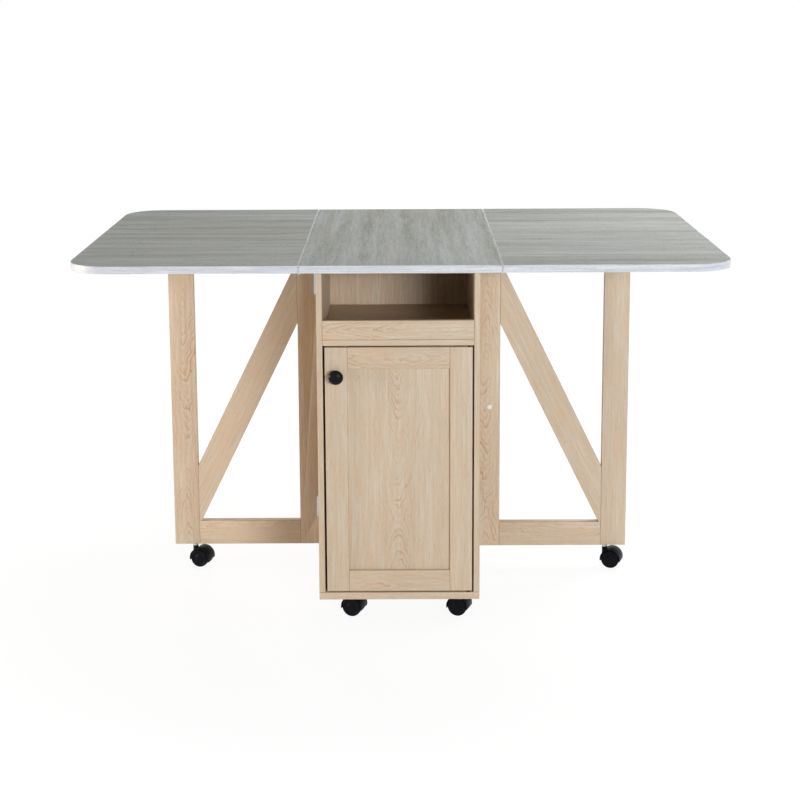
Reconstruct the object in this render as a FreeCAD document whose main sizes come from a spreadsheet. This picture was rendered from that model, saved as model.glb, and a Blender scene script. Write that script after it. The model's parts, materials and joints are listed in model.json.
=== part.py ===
import FreeCAD, Part
import os
import Sketcher
from FreeCAD import Rotation, Vector

# Drop-leaf kitchen table on a wheeled storage cabinet, in millimetres.
# X runs along the table, Y from the door side to the back, Z up.
# The origin is on the floor under the middle of the open table top.

DRIVING = [
    # table top
    ("table_length", 1300, "open top, end to end"),
    ("table_depth", 800, "top, front to back"),
    ("table_height", 750, "floor to the top's upper face"),
    ("top_thickness", 15, "top panels, laminate included"),
    ("corner_radius", 80, "outer corners of the leaves"),
    ("centre_width", 393, "fixed centre panel, seam to seam"),
    ("seam_gap", 1, "between the centre panel and a leaf"),
    ("band", 1, "edge band thickness"),
    # cabinet
    ("base_shift", -5, "cabinet centre, from the middle of the top"),
    ("cabinet_width", 325, "outside, along X"),
    ("cabinet_depth", 675, "outside, along Y"),
    ("board", 12, "carcass boards"),
    ("base_board", 15, "bottom board"),
    ("niche_clear", 133, "open niche, floor to ceiling"),
    ("lip_height", 39, "rail along the niche's front edge"),
    ("front_depth", 365, "cupboard and niche, front face to partition"),
    ("front_shelf_rise", 245, "clear height under the cupboard shelf"),
    ("front_shelf_setback", 30, "cupboard shelf, behind the front face"),
    ("rear_clear", 207, "clear height under each rear shelf"),
    ("shelf_play", 0.5, "shelf end to side panel"),
    # fittings of the carcass
    ("pin_radius", 2.5, "shelf pins"),
    ("pin_depth", 8, "shelf pin, in the side panel and out of it"),
    ("pin_inset", 40, "shelf pin, from the shelf's edge"),
    ("cam_radius", 7.5, "cam locks"),
    ("cam_height", 9.5, "cam locks, below the board's face"),
    ("cam_back", 24, "cam centre, from the board's end"),
    ("cam_inset", 60, "cam centre, from the board's edge"),
    ("cam_bolt_radius", 3, "bolts that the cams hold"),
    ("cam_bolt_depth", 8, "cam bolt, in the side panel"),
    ("screw_radius", 2, "carcass screws, shank"),
    ("screw_head_radius", 4, "carcass screws, head"),
    ("screw_head", 3, "carcass screws, head height"),
    ("base_screw_grip", 30, "screw length up into a side panel"),
    ("top_screw_grip", 9, "screw length up into the centre panel"),
    # door
    ("door_thickness", 15, "stiles and rails"),
    ("door_stile", 45, "width of the upright members"),
    ("door_rail", 44, "height of the cross members"),
    ("door_panel", 5, "panel thickness"),
    ("panel_recess", 5, "door face to panel face"),
    ("groove_depth", 8, "panel groove in stiles and rails"),
    ("door_gap_latch", 4, "at the knob's side"),
    ("door_gap_hinge", 3, "at the pivot side"),
    ("door_gap_high", 3, "above the door"),
    ("door_gap_low", 3, "below the door"),
    ("pivot_radius", 2.5, "door pivot pins"),
    ("pivot_play", 0.06, "radial, pin to hole in the carcass"),
    ("pivot_inset", 7, "pivot axis, from the door's edge"),
    ("pivot_depth", 4.5, "pivot axis, behind the door's face"),
    ("pivot_grip", 18, "pin length in the door"),
    ("pivot_reach", 7, "pin length in the carcass"),
    ("pivot_hole", 8, "depth of the pin's hole in the carcass"),
    ("collar_radius", 4.2, "washer under the door"),
    ("collar_play", 0.3, "washer to bottom board"),
    ("knob_radius", 15, "knob head"),
    ("knob_reach", 24, "knob, out of the door's face"),
    ("knob_neck_radius", 6, "knob neck"),
    ("knob_foot_radius", 8, "knob foot"),
    ("knob_foot", 3, "height of the knob's foot"),
    ("knob_head", 13, "height of the knob's head"),
    ("knob_dome", 0.75, "part of the head's height that is rounded above"),
    ("knob_under", 0.15, "part of the head's height that is rounded below"),
    ("knob_screw_hole", 12, "screw hole in the knob"),
    ("knob_screw_grip", 10, "screw length in the knob"),
    ("knob_drop", 57.5, "knob axis, below the door's top"),
    ("catch_wide", 40, "magnetic catch, along X"),
    ("catch_deep", 15, "magnetic catch, along Y"),
    ("catch_tall", 12, "magnetic catch, along Z"),
    ("catch_inset", 14, "magnetic catch, from the side panel"),
    ("magnet_recess", 1, "magnet, behind the catch's face"),
    ("catch_play", 0.5, "catch to strike plate"),
    ("strike_wide", 20, "strike plate, along X"),
    ("strike_tall", 9, "strike plate, along Z"),
    ("strike_thickness", 1, "strike plate"),
    ("strike_drop", 0.5, "strike plate, below the door's top edge"),
    # gates
    ("gate_past", 2, "folded gate, past the cabinet's front or back"),
    ("gate_gap", 4, "cabinet side to the gate's inner edge"),
    ("gate_thickness", 18, "gate members"),
    ("gate_stile", 55, "width of the upright members"),
    ("gate_rail", 54, "height of the cross members"),
    ("gate_play", 0.5, "gate top to the leaf above it"),
    ("brace_width", 60, "diagonal brace"),
    ("brace_lap", 4.5, "brace edge, past the frame's inner corner"),
    ("bumper_radius", 5, "leaf bumper on the gate"),
    ("bumper_height", 2, "leaf bumper, out of the gate's face"),
    ("bumper_out", 36, "bumper, from the cabinet side"),
    ("bumper_rise", 318, "bumper, above the gate's bottom"),
    # butt hinges of the gates
    ("gate_hinge_height", 47, "along the pin"),
    ("gate_hinge_leaf", 19, "pin axis to the leaf's edge"),
    ("gate_hinge_rise", 87, "middle of the lower hinge, above the gate's bottom"),
    ("gate_hinge_drop", 92.5, "middle of the upper hinge, below the gate's top"),
    ("gate_knuckle", 2.6, "knuckle radius"),
    ("gate_pin", 1.3, "hinge pin radius"),
    ("gate_pin_offset", 3, "pin axis, from each board's face"),
    # butt hinges of the leaves
    ("leaf_hinge_height", 40, "along the pin"),
    ("leaf_hinge_leaf", 19, "pin axis to the hinge leaf's edge"),
    ("leaf_hinge_inset", 30, "middle of the hinge, from the top's edge"),
    ("leaf_knuckle", 2.2, "knuckle radius"),
    ("leaf_pin", 1.1, "hinge pin radius"),
    ("leaf_pin_offset", 2.5, "pin axis, below the panels"),
    ("hinge_plate", 1.2, "hinge leaf thickness, all hinges"),
    ("hinge_play", 0.05, "radial, pin to turning knuckle"),
    ("knuckle_gap", 0.3, "between knuckles, and from knuckle to leaf"),
    # countersunk screws of the hinges and the caster plates
    ("small_screw", 10.5, "length, head included"),
    ("small_screw_radius", 1.5, "shank"),
    ("small_screw_head", 2.8, "head radius"),
    ("hinge_screw_out", 11.5, "hinge screws, from the pin's axis"),
    ("hinge_screw_part", 0.3, "hinge screws, from the middle, part of the height"),
    ("plate_screw_out", 14, "plate screws, from the stem along X and along Y"),
    # casters
    ("wheel_radius", 20, "wheels"),
    ("wheel_play", 1, "wheel to hood, all round"),
    ("wheel_inner", 5, "wheel's inner face, from the middle"),
    ("wheel_outer", 18, "wheel's outer face, from the middle"),
    ("wheel_edge", 1.5, "chamfer of the outer rim"),
    ("wheel_inner_edge", 1, "chamfer of the inner rim"),
    ("wheel_rim", 2, "flat ring round the dish"),
    ("wheel_dish", 1, "depth of the dish, and its slope"),
    ("wheel_hub", 5.5, "radius of the hub's flat"),
    ("axle_radius", 2.5, "wheel axle"),
    ("axle_inset", 0.5, "axle end, inside the wheel's outer face"),
    ("hood_wall", 1.5, "hood thickness"),
    ("hood_drop", 4.5, "hood's lower edge, below the axle"),
    ("web", 9, "thickness of the middle wall"),
    ("axle_boss", 7, "radius of the middle wall round the axle"),
    ("neck_radius", 6, "neck of the hood"),
    ("neck_rise", 2.2, "top of the neck, above the hood"),
    ("stem_radius", 3, "swivel stem"),
    ("stem_depth", 18, "length of the stem below its collar"),
    ("stem_clear", 0.5, "under the foot of the stem"),
    ("swivel_gap", 0.3, "neck to collar, along the stem"),
    ("shaft_play", 0.08, "radial, stem and axle in the hood"),
    ("trail", 15.5, "stem axis to wheel axis"),
    ("swivel_rest", 20, "angle of the casters at rest"),
    ("collar", 6, "radius of the nut under a gate"),
    ("collar_height", 5, "nut or raised ring, to the board above"),
    ("thread_radius", 4, "threaded stem in a gate"),
    ("thread_length", 22, "threaded stem in a gate"),
    ("plate_wide", 38, "mounting plate of a cabinet caster"),
    ("plate_thick", 2, "mounting plate of a cabinet caster"),
    ("boss_radius", 9, "raised ring under the mounting plate"),
    ("gate_caster_inset", 44, "stem, from the gate's outer edge"),
    ("caster_inset_side", 54, "stem, from the cabinet side"),
    ("caster_inset_end", 55, "stem, from the cabinet's front or back"),
]

# Places that follow from the driving dimensions. X of the cabinet and the
# gates is measured from the cabinet's own centre.
DERIVED = [
    ("cavity_radius", "size.wheel_radius + size.wheel_play"),
    ("hood_radius", "cavity_radius + size.hood_wall"),
    ("hood_low", "size.wheel_radius - size.hood_drop"),
    ("neck_top", "size.wheel_radius + hood_radius + size.neck_rise"),
    ("collar_low", "neck_top + size.swivel_gap"),
    ("stem_low", "collar_low - size.stem_depth"),
    ("caster_height", "collar_low + size.collar_height"),
    ("underside", "size.table_height - size.top_thickness"),
    ("centre_half", "size.centre_width / 2"),
    ("seam", "centre_half + size.seam_gap / 2"),
    ("leaf_width", "size.table_length / 2 - centre_half - size.seam_gap"),
    ("half_width", "size.cabinet_width / 2"),
    ("half_depth", "size.cabinet_depth / 2"),
    ("inside", "size.cabinet_width - 2 * size.board"),
    ("half_inside", "inside / 2"),
    ("carcass_low", "caster_height + size.base_board"),
    ("ceiling", "underside - size.board"),
    ("niche_floor", "ceiling - size.niche_clear"),
    ("cupboard_top", "niche_floor - size.board"),
    ("partition", "size.front_depth - half_depth"),
    ("partition_back", "partition + size.board"),
    ("shelf_width", "inside - 2 * size.shelf_play"),
    ("front_shelf", "carcass_low + size.front_shelf_rise"),
    ("rear_shelf_1", "carcass_low + size.rear_clear"),
    ("rear_shelf_2", "rear_shelf_1 + size.board + size.rear_clear"),
    ("front_shelf_depth", "size.front_depth - size.front_shelf_setback"),
    ("rear_shelf_depth", "half_depth - partition_back"),
    ("door_left", "size.door_gap_latch - half_inside"),
    ("door_width", "inside - size.door_gap_latch - size.door_gap_hinge"),
    ("door_low", "carcass_low + size.door_gap_low"),
    ("door_height", "cupboard_top - size.door_gap_high - door_low"),
    ("door_back", "size.door_thickness - half_depth"),
    ("panel_width", "door_width - 2 * size.door_stile + 2 * size.groove_depth"),
    ("panel_height", "door_height - 2 * size.door_rail + 2 * size.groove_depth"),
    ("pivot_x", "door_left + door_width - size.pivot_inset"),
    ("pivot_y", "size.pivot_depth - half_depth"),
    ("catch_face", "door_back + size.strike_thickness + size.catch_play"),
    ("catch_left", "size.catch_inset - half_inside"),
    ("gate_inner", "half_width + size.gate_gap"),
    ("gate_outer", "half_width + half_depth + size.gate_past"),
    ("gate_top", "underside - size.gate_play"),
    ("gate_height", "gate_top - caster_height"),
    ("gate_hinge_low", "caster_height + size.gate_hinge_rise"),
    ("gate_hinge_high", "gate_top - size.gate_hinge_drop"),
    ("gate_hole_width", "gate_outer - gate_inner - 2 * size.gate_stile"),
    ("gate_hole_height", "gate_height - 2 * size.gate_rail"),
    ("gate_diagonal", "sqrt(gate_hole_width ^ 2 + gate_hole_height ^ 2)"),
    ("brace_spread", "asin((size.brace_width - 2 * size.brace_lap) / gate_diagonal)"),
    ("brace_angle", "atan(gate_hole_width / gate_hole_height) + brace_spread"),
    ("gate_pin_x", "half_width + size.gate_pin_offset"),
    ("gate_stem_x", "gate_outer - size.gate_caster_inset"),
    ("gate_stem_y", "size.gate_thickness / 2"),
    ("cabinet_stem_x", "half_width - size.caster_inset_side"),
    ("cabinet_stem_y", "half_depth - size.caster_inset_end"),
    ("leaf_hinge_y", "size.table_depth / 2 - size.leaf_hinge_inset"),
    ("leaf_pin_z", "underside - size.leaf_pin_offset"),
    ("screw_grip", "size.small_screw - size.hinge_plate"),
]

TURN_ABOUT_Z = Rotation(Vector(0, 0, 1), 180)
Z_TO_FRONT = Rotation(Vector(1, 0, 0), 90)
X_SWAPPED_WITH_Y = Rotation(Vector(1, 1, 0), 180)
Z_TO_RIGHT = Rotation(Vector(0, 1, 0), 90)
Z_TO_BACK = Rotation(Vector(1, 0, 0), -90)

BASE = ("Placement.Base.x", "Placement.Base.y", "Placement.Base.z")

doc = FreeCAD.newDocument("kitchen_table")
nodes = []


# ---------------------------------------------------------------- helpers

def fill_sheet(name, rows):
    """A sheet of named cells: (alias, content, note) in columns B, A and C."""
    sheet = doc.addObject("Spreadsheet::Sheet", name)
    for row, (alias, content, note) in enumerate(rows, start=1):
        sheet.set(f"A{row}", alias)
        sheet.set(f"B{row}", content)
        sheet.set(f"C{row}", note)
        sheet.setAlias(f"B{row}", alias)
    return sheet


def value(expression):
    """The present value of an expression, as a plain number."""
    result = layout.evalExpression(expression)
    return float(getattr(result, "Value", result))


def bind(item, **expressions):
    """Bind properties of an object to expressions."""
    for name, expression in expressions.items():
        item.setExpression(name, expression)


def place(item, x, y, z, frame="cabinet", rotation=Rotation()):
    """Put an object at (x, y, z) of a frame.

    "table" is centred under the top, "cabinet" under the cabinet, and
    "turned table" and "turned cabinet" are those turned half round Z.
    """
    turned = frame.startswith("turned")
    centre = "0" if frame.endswith("table") else "size.base_shift"
    sign = "-" if turned else "+"
    item.Placement = FreeCAD.Placement(
        Vector(), TURN_ABOUT_Z * rotation if turned else rotation)
    item.setExpression("Placement.Base.x", f"{centre} {sign} ({x})")
    item.setExpression("Placement.Base.y", f"0 {sign} ({y})")
    item.setExpression("Placement.Base.z", z)
    return item


def node(name, item):
    """Register an object as a sub-part: its label is the node's name."""
    item.Label = name
    nodes.append(item)
    return item


def new_body(name):
    return doc.addObject("PartDesign::Body", name)


def sketch_on(body, role, lift="0"):
    """An empty sketch on an origin plane of the body, moved along its normal."""
    planes = [f for f in body.Origin.OriginFeatures if f.Role == role]
    sketch = body.newObject("Sketcher::SketchObject", "Sketch")
    sketch.AttachmentSupport = [(planes[0], "")]
    sketch.MapMode = "FlatFace"
    sketch.setExpression("AttachmentOffset.Base.z", lift)
    return sketch


def polygon(sketch, points):
    """A closed outline through points that are pairs of expressions."""
    corners = [Vector(value(u), value(v), 0) for u, v in points]
    count = len(corners)
    for i in range(count):
        line = Part.LineSegment(corners[i], corners[(i + 1) % count])
        sketch.addGeometry(line, False)
    for i in range(count):
        joint = Sketcher.Constraint("Coincident", i, 2, (i + 1) % count, 1)
        sketch.addConstraint(joint)
    for i, (u, v) in enumerate(points):
        for kind, expression in (("DistanceX", u), ("DistanceY", v)):
            datum = Sketcher.Constraint(kind, i, 1, value(expression))
            index = sketch.addConstraint(datum)
            sketch.setExpression(f"Constraints[{index}]", expression)


def rectangle(sketch, left, low, right, high):
    polygon(sketch, [(left, low), (right, low), (right, high), (left, high)])


def pad(body, sketch, length, middle=False):
    """Pad a sketch along its normal, or half to each side of it."""
    feature = body.newObject("PartDesign::Pad", "Pad")
    feature.Profile = sketch
    feature.SideType = "Symmetric" if middle else "One side"
    feature.setExpression("Length", length)
    return feature


def primitive(body, kind, x, y, z, rotation=Rotation(), **sizes):
    """An additive or subtractive primitive in the body's own frame."""
    feature = body.newObject(f"PartDesign::{kind}", kind)
    feature.Placement = FreeCAD.Placement(Vector(), rotation)
    bind(feature, **dict(zip(BASE, (x, y, z))))
    bind(feature, **sizes)
    return feature


def drill(body, x, y, z, radius, depth, rotation=Rotation()):
    """A round hole that starts at (x, y, z) and runs along the turned Z."""
    return primitive(body, "SubtractiveCylinder", x, y, z, rotation,
                     Radius=radius, Height=depth)


def countersink(body, x, y, z, rotation=Rotation()):
    """A conical seat for a countersunk screw, one hinge plate deep."""
    primitive(body, "SubtractiveCone", x, y, z, rotation, Radius1="size.small_screw_head",
              Radius2="size.small_screw_radius", Height="size.hinge_plate")


def countersunk_screw(name, rotation=Rotation()):
    """A short screw with the flat of its head at local Z 0 and its point up."""
    body = new_body(name)
    primitive(body, "AdditiveCylinder", "0", "0", "0",
              Radius="size.small_screw_radius", Height="size.small_screw")
    primitive(body, "AdditiveCone", "0", "0", "0", Radius1="size.small_screw_head",
              Radius2="size.small_screw_radius", Height="size.hinge_plate")
    body.Placement = FreeCAD.Placement(Vector(), rotation)
    return body


def pilot(body, x, y, z, rotation=Rotation()):
    """The hole of a countersunk screw in the board behind a hinge plate."""
    drill(body, x, y, z, "size.small_screw_radius", "layout.screw_grip", rotation)


def board(name, wide, deep, tall, x, y, z, frame="cabinet"):
    """A rectangular board, from its left front lower corner."""
    body = new_body(name)
    outline = sketch_on(body, "XY_Plane")
    rectangle(outline, "0", "0", wide, deep)
    pad(body, outline, tall)
    return node(name, place(body, x, y, z, frame))


def cylinder(name, radius, height):
    """A Part cylinder along Z from its own origin."""
    item = doc.addObject("Part::Cylinder", name)
    bind(item, Radius=radius, Height=height)
    return item


def group(name, items):
    """Separate solids that share one node."""
    compound = doc.addObject("Part::Compound", name)
    compound.Links = items
    return node(name, compound)


def round_edges(body, base, radius, wanted):
    """Fillet the edges of a feature that the test picks by their middle."""
    doc.recompute()
    names = [f"Edge{i + 1}" for i, edge in enumerate(base.Shape.Edges)
             if wanted(edge)]
    fillet = body.newObject("PartDesign::Fillet", "Fillet")
    fillet.Base = (base, names)
    fillet.setExpression("Radius", radius)
    return fillet


def is_upright_at(edge, x):
    """Whether an edge is straight, parallel to Z and at a given local X."""
    first, last = edge.Vertexes[0].Point, edge.Vertexes[-1].Point
    along_z = abs(first.z - last.z) > 1e-6
    return along_z and abs(first.x - x) < 1e-6 and abs(last.x - x) < 1e-6


# ---------------------------------------------------------------- top

def slab(name, wide, inset, radius):
    """A top panel's core, or its band's outer shape, in local X from 0.

    Both corners at local X 0 are rounded, unless radius is None.
    """
    body = new_body(name)
    outline = sketch_on(body, "XY_Plane")
    rectangle(outline, inset, inset, f"{wide} - {inset}", f"size.table_depth - {inset}")
    feature = pad(body, outline, "size.top_thickness")
    if radius:
        edge_x = value(inset)
        round_edges(body, feature, radius, lambda e: is_upright_at(e, edge_x))
    return body


def edge_band(name, wide, rounded):
    """The band round a panel: the panel's full outline less its core."""
    full = slab(f"{name}_full", wide, "0", "size.corner_radius" if rounded else None)
    inner_radius = "size.corner_radius - size.band" if rounded else None
    core = slab(f"{name}_core", wide, "size.band", inner_radius)
    band = doc.addObject("Part::Cut", name)
    band.Base = full
    band.Tool = core
    return band


def leaf_screw_rows():
    """Distance of the leaf hinges' screws from the top's front edge."""
    spread = "size.leaf_hinge_height * size.hinge_screw_part"
    return [f"size.table_depth / 2 {end} layout.leaf_hinge_y {side} {spread}"
            for end in "-+" for side in "-+"]


def build_centre():
    """Centre panel, its band, and the pilot holes of the top's screws."""
    core = slab("top_centre_panel", "size.centre_width", "size.band", None)
    for x, y in top_screw_places():
        local_x = f"layout.centre_half + size.base_shift + {x}"
        local_y = f"size.table_depth / 2 + {y}"
        drill(core, local_x, local_y, "0", "size.screw_radius", "size.top_screw_grip")
    from_edge = "(layout.centre_half - layout.seam + size.hinge_screw_out)"
    for x in (from_edge, f"size.centre_width - {from_edge}"):
        for y in leaf_screw_rows():
            pilot(core, x, y, "0")
    band = edge_band("top_centre_edge_band", "size.centre_width", False)
    for item in (core, band):
        node(item.Name, item)
        place(item, "-layout.centre_half", "-size.table_depth / 2", "layout.underside", "table")


def build_leaf(side, frame):
    """A drop leaf with its band, as the left leaf or as that turned about."""
    core = slab(f"leaf_panel_{side}", "layout.leaf_width", "size.band",
                "size.corner_radius - size.band")
    for y in leaf_screw_rows():
        pilot(core, "size.table_length / 2 - layout.seam - size.hinge_screw_out", y, "0")
    band = edge_band(f"leaf_edge_band_{side}", "layout.leaf_width", True)
    for item in (core, band):
        node(item.Name, item)
        place(item, "-size.table_length / 2", "-size.table_depth / 2", "layout.underside", frame)


# ---------------------------------------------------------------- hinges

def hinge_half(name, prefix, middle_knuckle):
    """Half a butt hinge. The pin is local Z, and the leaf runs to -X.

    The board's face is at local Y = +pin offset. The turning half has the
    middle one of three equal knuckles, and the fixed half the outer two.
    """
    height = f"size.{prefix}_hinge_height"
    knuckle = f"size.{prefix}_knuckle"
    offset = f"size.{prefix}_pin_offset"
    pin = f"size.{prefix}_pin"
    reach = f"size.{prefix}_hinge_leaf"
    clear = f"({knuckle} + size.knuckle_gap)"
    body = new_body(name)
    leaf = sketch_on(body, "XY_Plane")
    rectangle(leaf, f"-{reach}", f"{offset} - size.hinge_plate", f"-{clear}", offset)
    pad(body, leaf, height, middle=True)
    third = f"({height} / 3)"
    starts = [f"-{third} / 2"] if middle_knuckle else [f"-{height} / 2", f"{third} / 2"]
    length = third
    if middle_knuckle:
        starts = [f"size.knuckle_gap - {third} / 2"]
        length = f"({third} - 2 * size.knuckle_gap)"
    face = f"{offset} - size.hinge_plate"
    for start in starts:
        primitive(body, "AdditiveBox", f"-{clear}", face, start,
                  Length=clear, Width="size.hinge_plate", Height=length)
        primitive(body, "AdditiveCylinder", "0", "0", start, Radius=knuckle, Height=length)
    bore = f"{pin} + size.hinge_play" if middle_knuckle else pin
    drill(body, "0", "0", f"-{height} / 2", bore, height)
    pieces = [body]
    for end in ("-", ""):
        at = ("-size.hinge_screw_out", face, f"{end}{height} * size.hinge_screw_part")
        countersink(body, *at, Z_TO_BACK)
        item = countersunk_screw(f"{name}_screw", Z_TO_BACK)
        bind(item, **dict(zip(BASE, at)))
        pieces.append(item)
    half = doc.addObject("Part::Compound", f"{name}_with_screws")
    half.Links = pieces
    return half


def hinge_pin(name, prefix):
    """A pin as long as the hinge, centred on it once it is placed."""
    return cylinder(name, f"size.{prefix}_pin", f"size.{prefix}_hinge_height")


def build_gate_hinges():
    """Two butt hinges a gate, in the corner of its face and the cabinet's."""
    fixed = []
    for side, frame in (("left", "cabinet"), ("right", "turned cabinet")):
        moving = []
        for level in ("low", "high"):
            x = "-layout.gate_pin_x"
            y = "-size.gate_pin_offset"
            z = f"layout.gate_hinge_{level}"
            half = hinge_half(f"gate_half_{side}_{level}", "gate", True)
            moving.append(place(half, x, y, z, frame))
            half = hinge_half(f"cabinet_half_{side}_{level}", "gate", False)
            fixed.append(place(half, x, y, z, frame, X_SWAPPED_WITH_Y))
            pin = hinge_pin(f"gate_pin_{side}_{level}", "gate")
            fixed.append(place(pin, x, y, f"{z} - size.gate_hinge_height / 2", frame))
        group(f"gate_hinge_leaves_{side}", moving)
    group("gate_hinge_fixed_leaves", fixed)


def build_leaf_hinges():
    """Two butt hinges a seam, under the panels near the front and the back."""
    fixed = []
    x = "-layout.seam"
    for side, frame in (("left", "table"), ("right", "turned table")):
        moving = []
        for end, sign in (("front", "-"), ("back", "")):
            y = f"{sign}layout.leaf_hinge_y"
            half = hinge_half(f"leaf_half_{side}_{end}", "leaf", True)
            moving.append(place(half, x, y, "layout.leaf_pin_z", frame, Z_TO_FRONT))
            half = hinge_half(f"centre_half_{side}_{end}", "leaf", False)
            fixed.append(place(half, x, y, "layout.leaf_pin_z", frame,
                               TURN_ABOUT_Z * Z_TO_FRONT))
            pin = hinge_pin(f"leaf_pin_{side}_{end}", "leaf")
            pin_end = f"{y} + size.leaf_hinge_height / 2"
            fixed.append(place(pin, x, pin_end, "layout.leaf_pin_z", frame, Z_TO_FRONT))
        group(f"leaf_hinge_leaves_{side}", moving)
    group("leaf_hinge_fixed_leaves", fixed)


# ---------------------------------------------------------------- carcass

def base_screw_places():
    """X and Y of the screws that hold the side panels on the bottom board."""
    side = "(layout.half_width - size.board / 2)"
    along = "(layout.half_depth - size.cam_inset)"
    return [(f"{a}{side}", f"{b} * {along}") for a in ("-", "") for b in (-1, 0, 1)]


def top_screw_places():
    """X and Y of the screws that hold the centre panel on the carcass top."""
    side = "(layout.half_inside - size.cam_inset)"
    along = "(layout.half_depth - size.cam_inset)"
    return [(f"{a}{side}", f"{b} * {along}") for a in ("-", "") for b in (-1, 0, 1)]


def cam_places():
    """Distance back from the cabinet's front of each pair of cams, by board."""
    near = "size.cam_inset"
    return {
        "top": ("layout.ceiling", [near, "size.cabinet_depth - size.cam_inset"]),
        "niche": ("layout.cupboard_top", [near, "size.front_depth - size.cam_inset"]),
    }


def shelf_pin_places():
    """(distance from the cabinet's front, underside of the shelf) of the pins."""
    places = []
    front = "size.front_shelf_setback + size.pin_inset"
    back = "size.front_depth - size.pin_inset"
    places += [(front, "layout.front_shelf"), (back, "layout.front_shelf")]
    for level in ("layout.rear_shelf_1", "layout.rear_shelf_2"):
        places.append(("size.front_depth + size.board + size.pin_inset", level))
        places.append(("size.cabinet_depth - size.pin_inset", level))
    return places


def gate_screw_levels():
    """Height of the gate hinges' screws above the floor."""
    spread = "size.gate_hinge_height * size.hinge_screw_part"
    return [f"layout.gate_hinge_{level} {sign} {spread}"
            for level in ("low", "high") for sign in "-+"]


def build_side_panel(side):
    """A side panel with its holes, in local X from its left face."""
    left = side == "left"
    x = "-layout.half_width" if left else "layout.half_inside"
    body = board(f"side_panel_{side}", "size.board", "size.cabinet_depth",
                 "layout.underside - layout.carcass_low", x,
                 "-layout.half_depth", "layout.carcass_low")
    inner = "size.board" if left else "0"
    for y, level in shelf_pin_places():
        start = f"{inner} - size.pin_depth" if left else inner
        drill(body, start, y, f"{level} - size.pin_radius - layout.carcass_low",
              "size.pin_radius", "size.pin_depth", Z_TO_RIGHT)
    for level, rows in cam_places().values():
        for y in rows:
            start = f"{inner} - size.cam_bolt_depth" if left else inner
            drill(body, start, y, f"{level} + size.board / 2 - layout.carcass_low",
                  "size.cam_bolt_radius", "size.cam_bolt_depth", Z_TO_RIGHT)
    for along in (-1, 0, 1):
        y = f"layout.half_depth + {along} * (layout.half_depth - size.cam_inset)"
        drill(body, "size.board / 2", y, "0", "size.screw_radius", "size.base_screw_grip")
    sign = "-" if left else "+"
    start = "0" if left else "size.board - layout.screw_grip"
    y = f"layout.half_depth {sign} (size.gate_pin_offset + size.hinge_screw_out)"
    for z in gate_screw_levels():
        pilot(body, start, y, f"{z} - layout.carcass_low", Z_TO_RIGHT)


def cut_cam_seats(body, rows):
    """Cam pockets in a board's underside and bolt holes in its two ends."""
    for y in rows:
        for end in ("left", "right"):
            left = end == "left"
            centre = "size.cam_back" if left else "layout.inside - size.cam_back"
            drill(body, centre, y, "0", "size.cam_radius", "size.cam_height")
            start = "0" if left else "layout.inside - size.cam_back"
            drill(body, start, y, "size.board / 2", "size.cam_bolt_radius",
                  "size.cam_back", Z_TO_RIGHT)


def build_carcass():
    """The cabinet's boards."""
    build_side_panel("left")
    build_side_panel("right")

    bottom = board("bottom_board", "size.cabinet_width", "size.cabinet_depth",
                   "size.base_board", "-layout.half_width", "-layout.half_depth",
                   "layout.caster_height")
    for x, y in base_screw_places():
        local = (f"layout.half_width + {x}", f"layout.half_depth + {y}")
        drill(bottom, *local, "0", "size.screw_radius", "size.base_board")
        drill(bottom, *local, "0", "size.screw_head_radius", "size.screw_head")
    for _, stem_x, stem_y in cabinet_stem_places():
        for x, y in plate_screw_places(stem_x, stem_y):
            drill(bottom, f"layout.half_width + {x}", f"layout.half_depth + {y}", "0",
                  "size.small_screw_radius", "size.small_screw - size.plate_thick")
    drill(bottom, "layout.half_width + layout.pivot_x", "layout.half_depth + layout.pivot_y",
          "size.base_board - size.pivot_hole", "size.pivot_radius + size.pivot_play",
          "size.pivot_hole")

    top = board("carcass_top", "layout.inside", "size.cabinet_depth", "size.board",
                "-layout.half_inside", "-layout.half_depth", "layout.ceiling")
    cut_cam_seats(top, cam_places()["top"][1])
    for x, y in top_screw_places():
        local = (f"layout.half_inside + {x}", f"layout.half_depth + {y}")
        drill(top, *local, "0", "size.screw_radius", "size.board")
        drill(top, *local, "0", "size.screw_head_radius", "size.screw_head")

    niche = board("niche_floor", "layout.inside", "size.front_depth", "size.board",
                  "-layout.half_inside", "-layout.half_depth", "layout.cupboard_top")
    cut_cam_seats(niche, cam_places()["niche"][1])
    drill(niche, "layout.half_inside + layout.pivot_x", "layout.half_depth + layout.pivot_y",
          "0", "size.pivot_radius + size.pivot_play", "size.pivot_hole")

    board("niche_lip", "layout.inside", "size.board", "size.lip_height",
          "-layout.half_inside", "-layout.half_depth", "layout.niche_floor")
    board("centre_partition", "layout.inside", "size.board",
          "layout.ceiling - layout.carcass_low", "-layout.half_inside",
          "layout.partition", "layout.carcass_low")
    board("cupboard_shelf", "layout.shelf_width", "layout.front_shelf_depth", "size.board",
          "-layout.shelf_width / 2", "size.front_shelf_setback - layout.half_depth",
          "layout.front_shelf")
    for number, name in ((1, "rear_shelf_lower"), (2, "rear_shelf_upper")):
        board(name, "layout.shelf_width", "layout.rear_shelf_depth", "size.board",
              "-layout.shelf_width / 2", "layout.partition_back",
              f"layout.rear_shelf_{number}")


def screw(name, grip):
    """A screw with its head at local Z 0 and its point up."""
    body = new_body(name)
    primitive(body, "AdditiveCylinder", "0", "0", "0",
              Radius="size.screw_head_radius", Height="size.screw_head")
    primitive(body, "AdditiveCylinder", "0", "0", "0", Radius="size.screw_radius", Height=grip)
    return body


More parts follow.
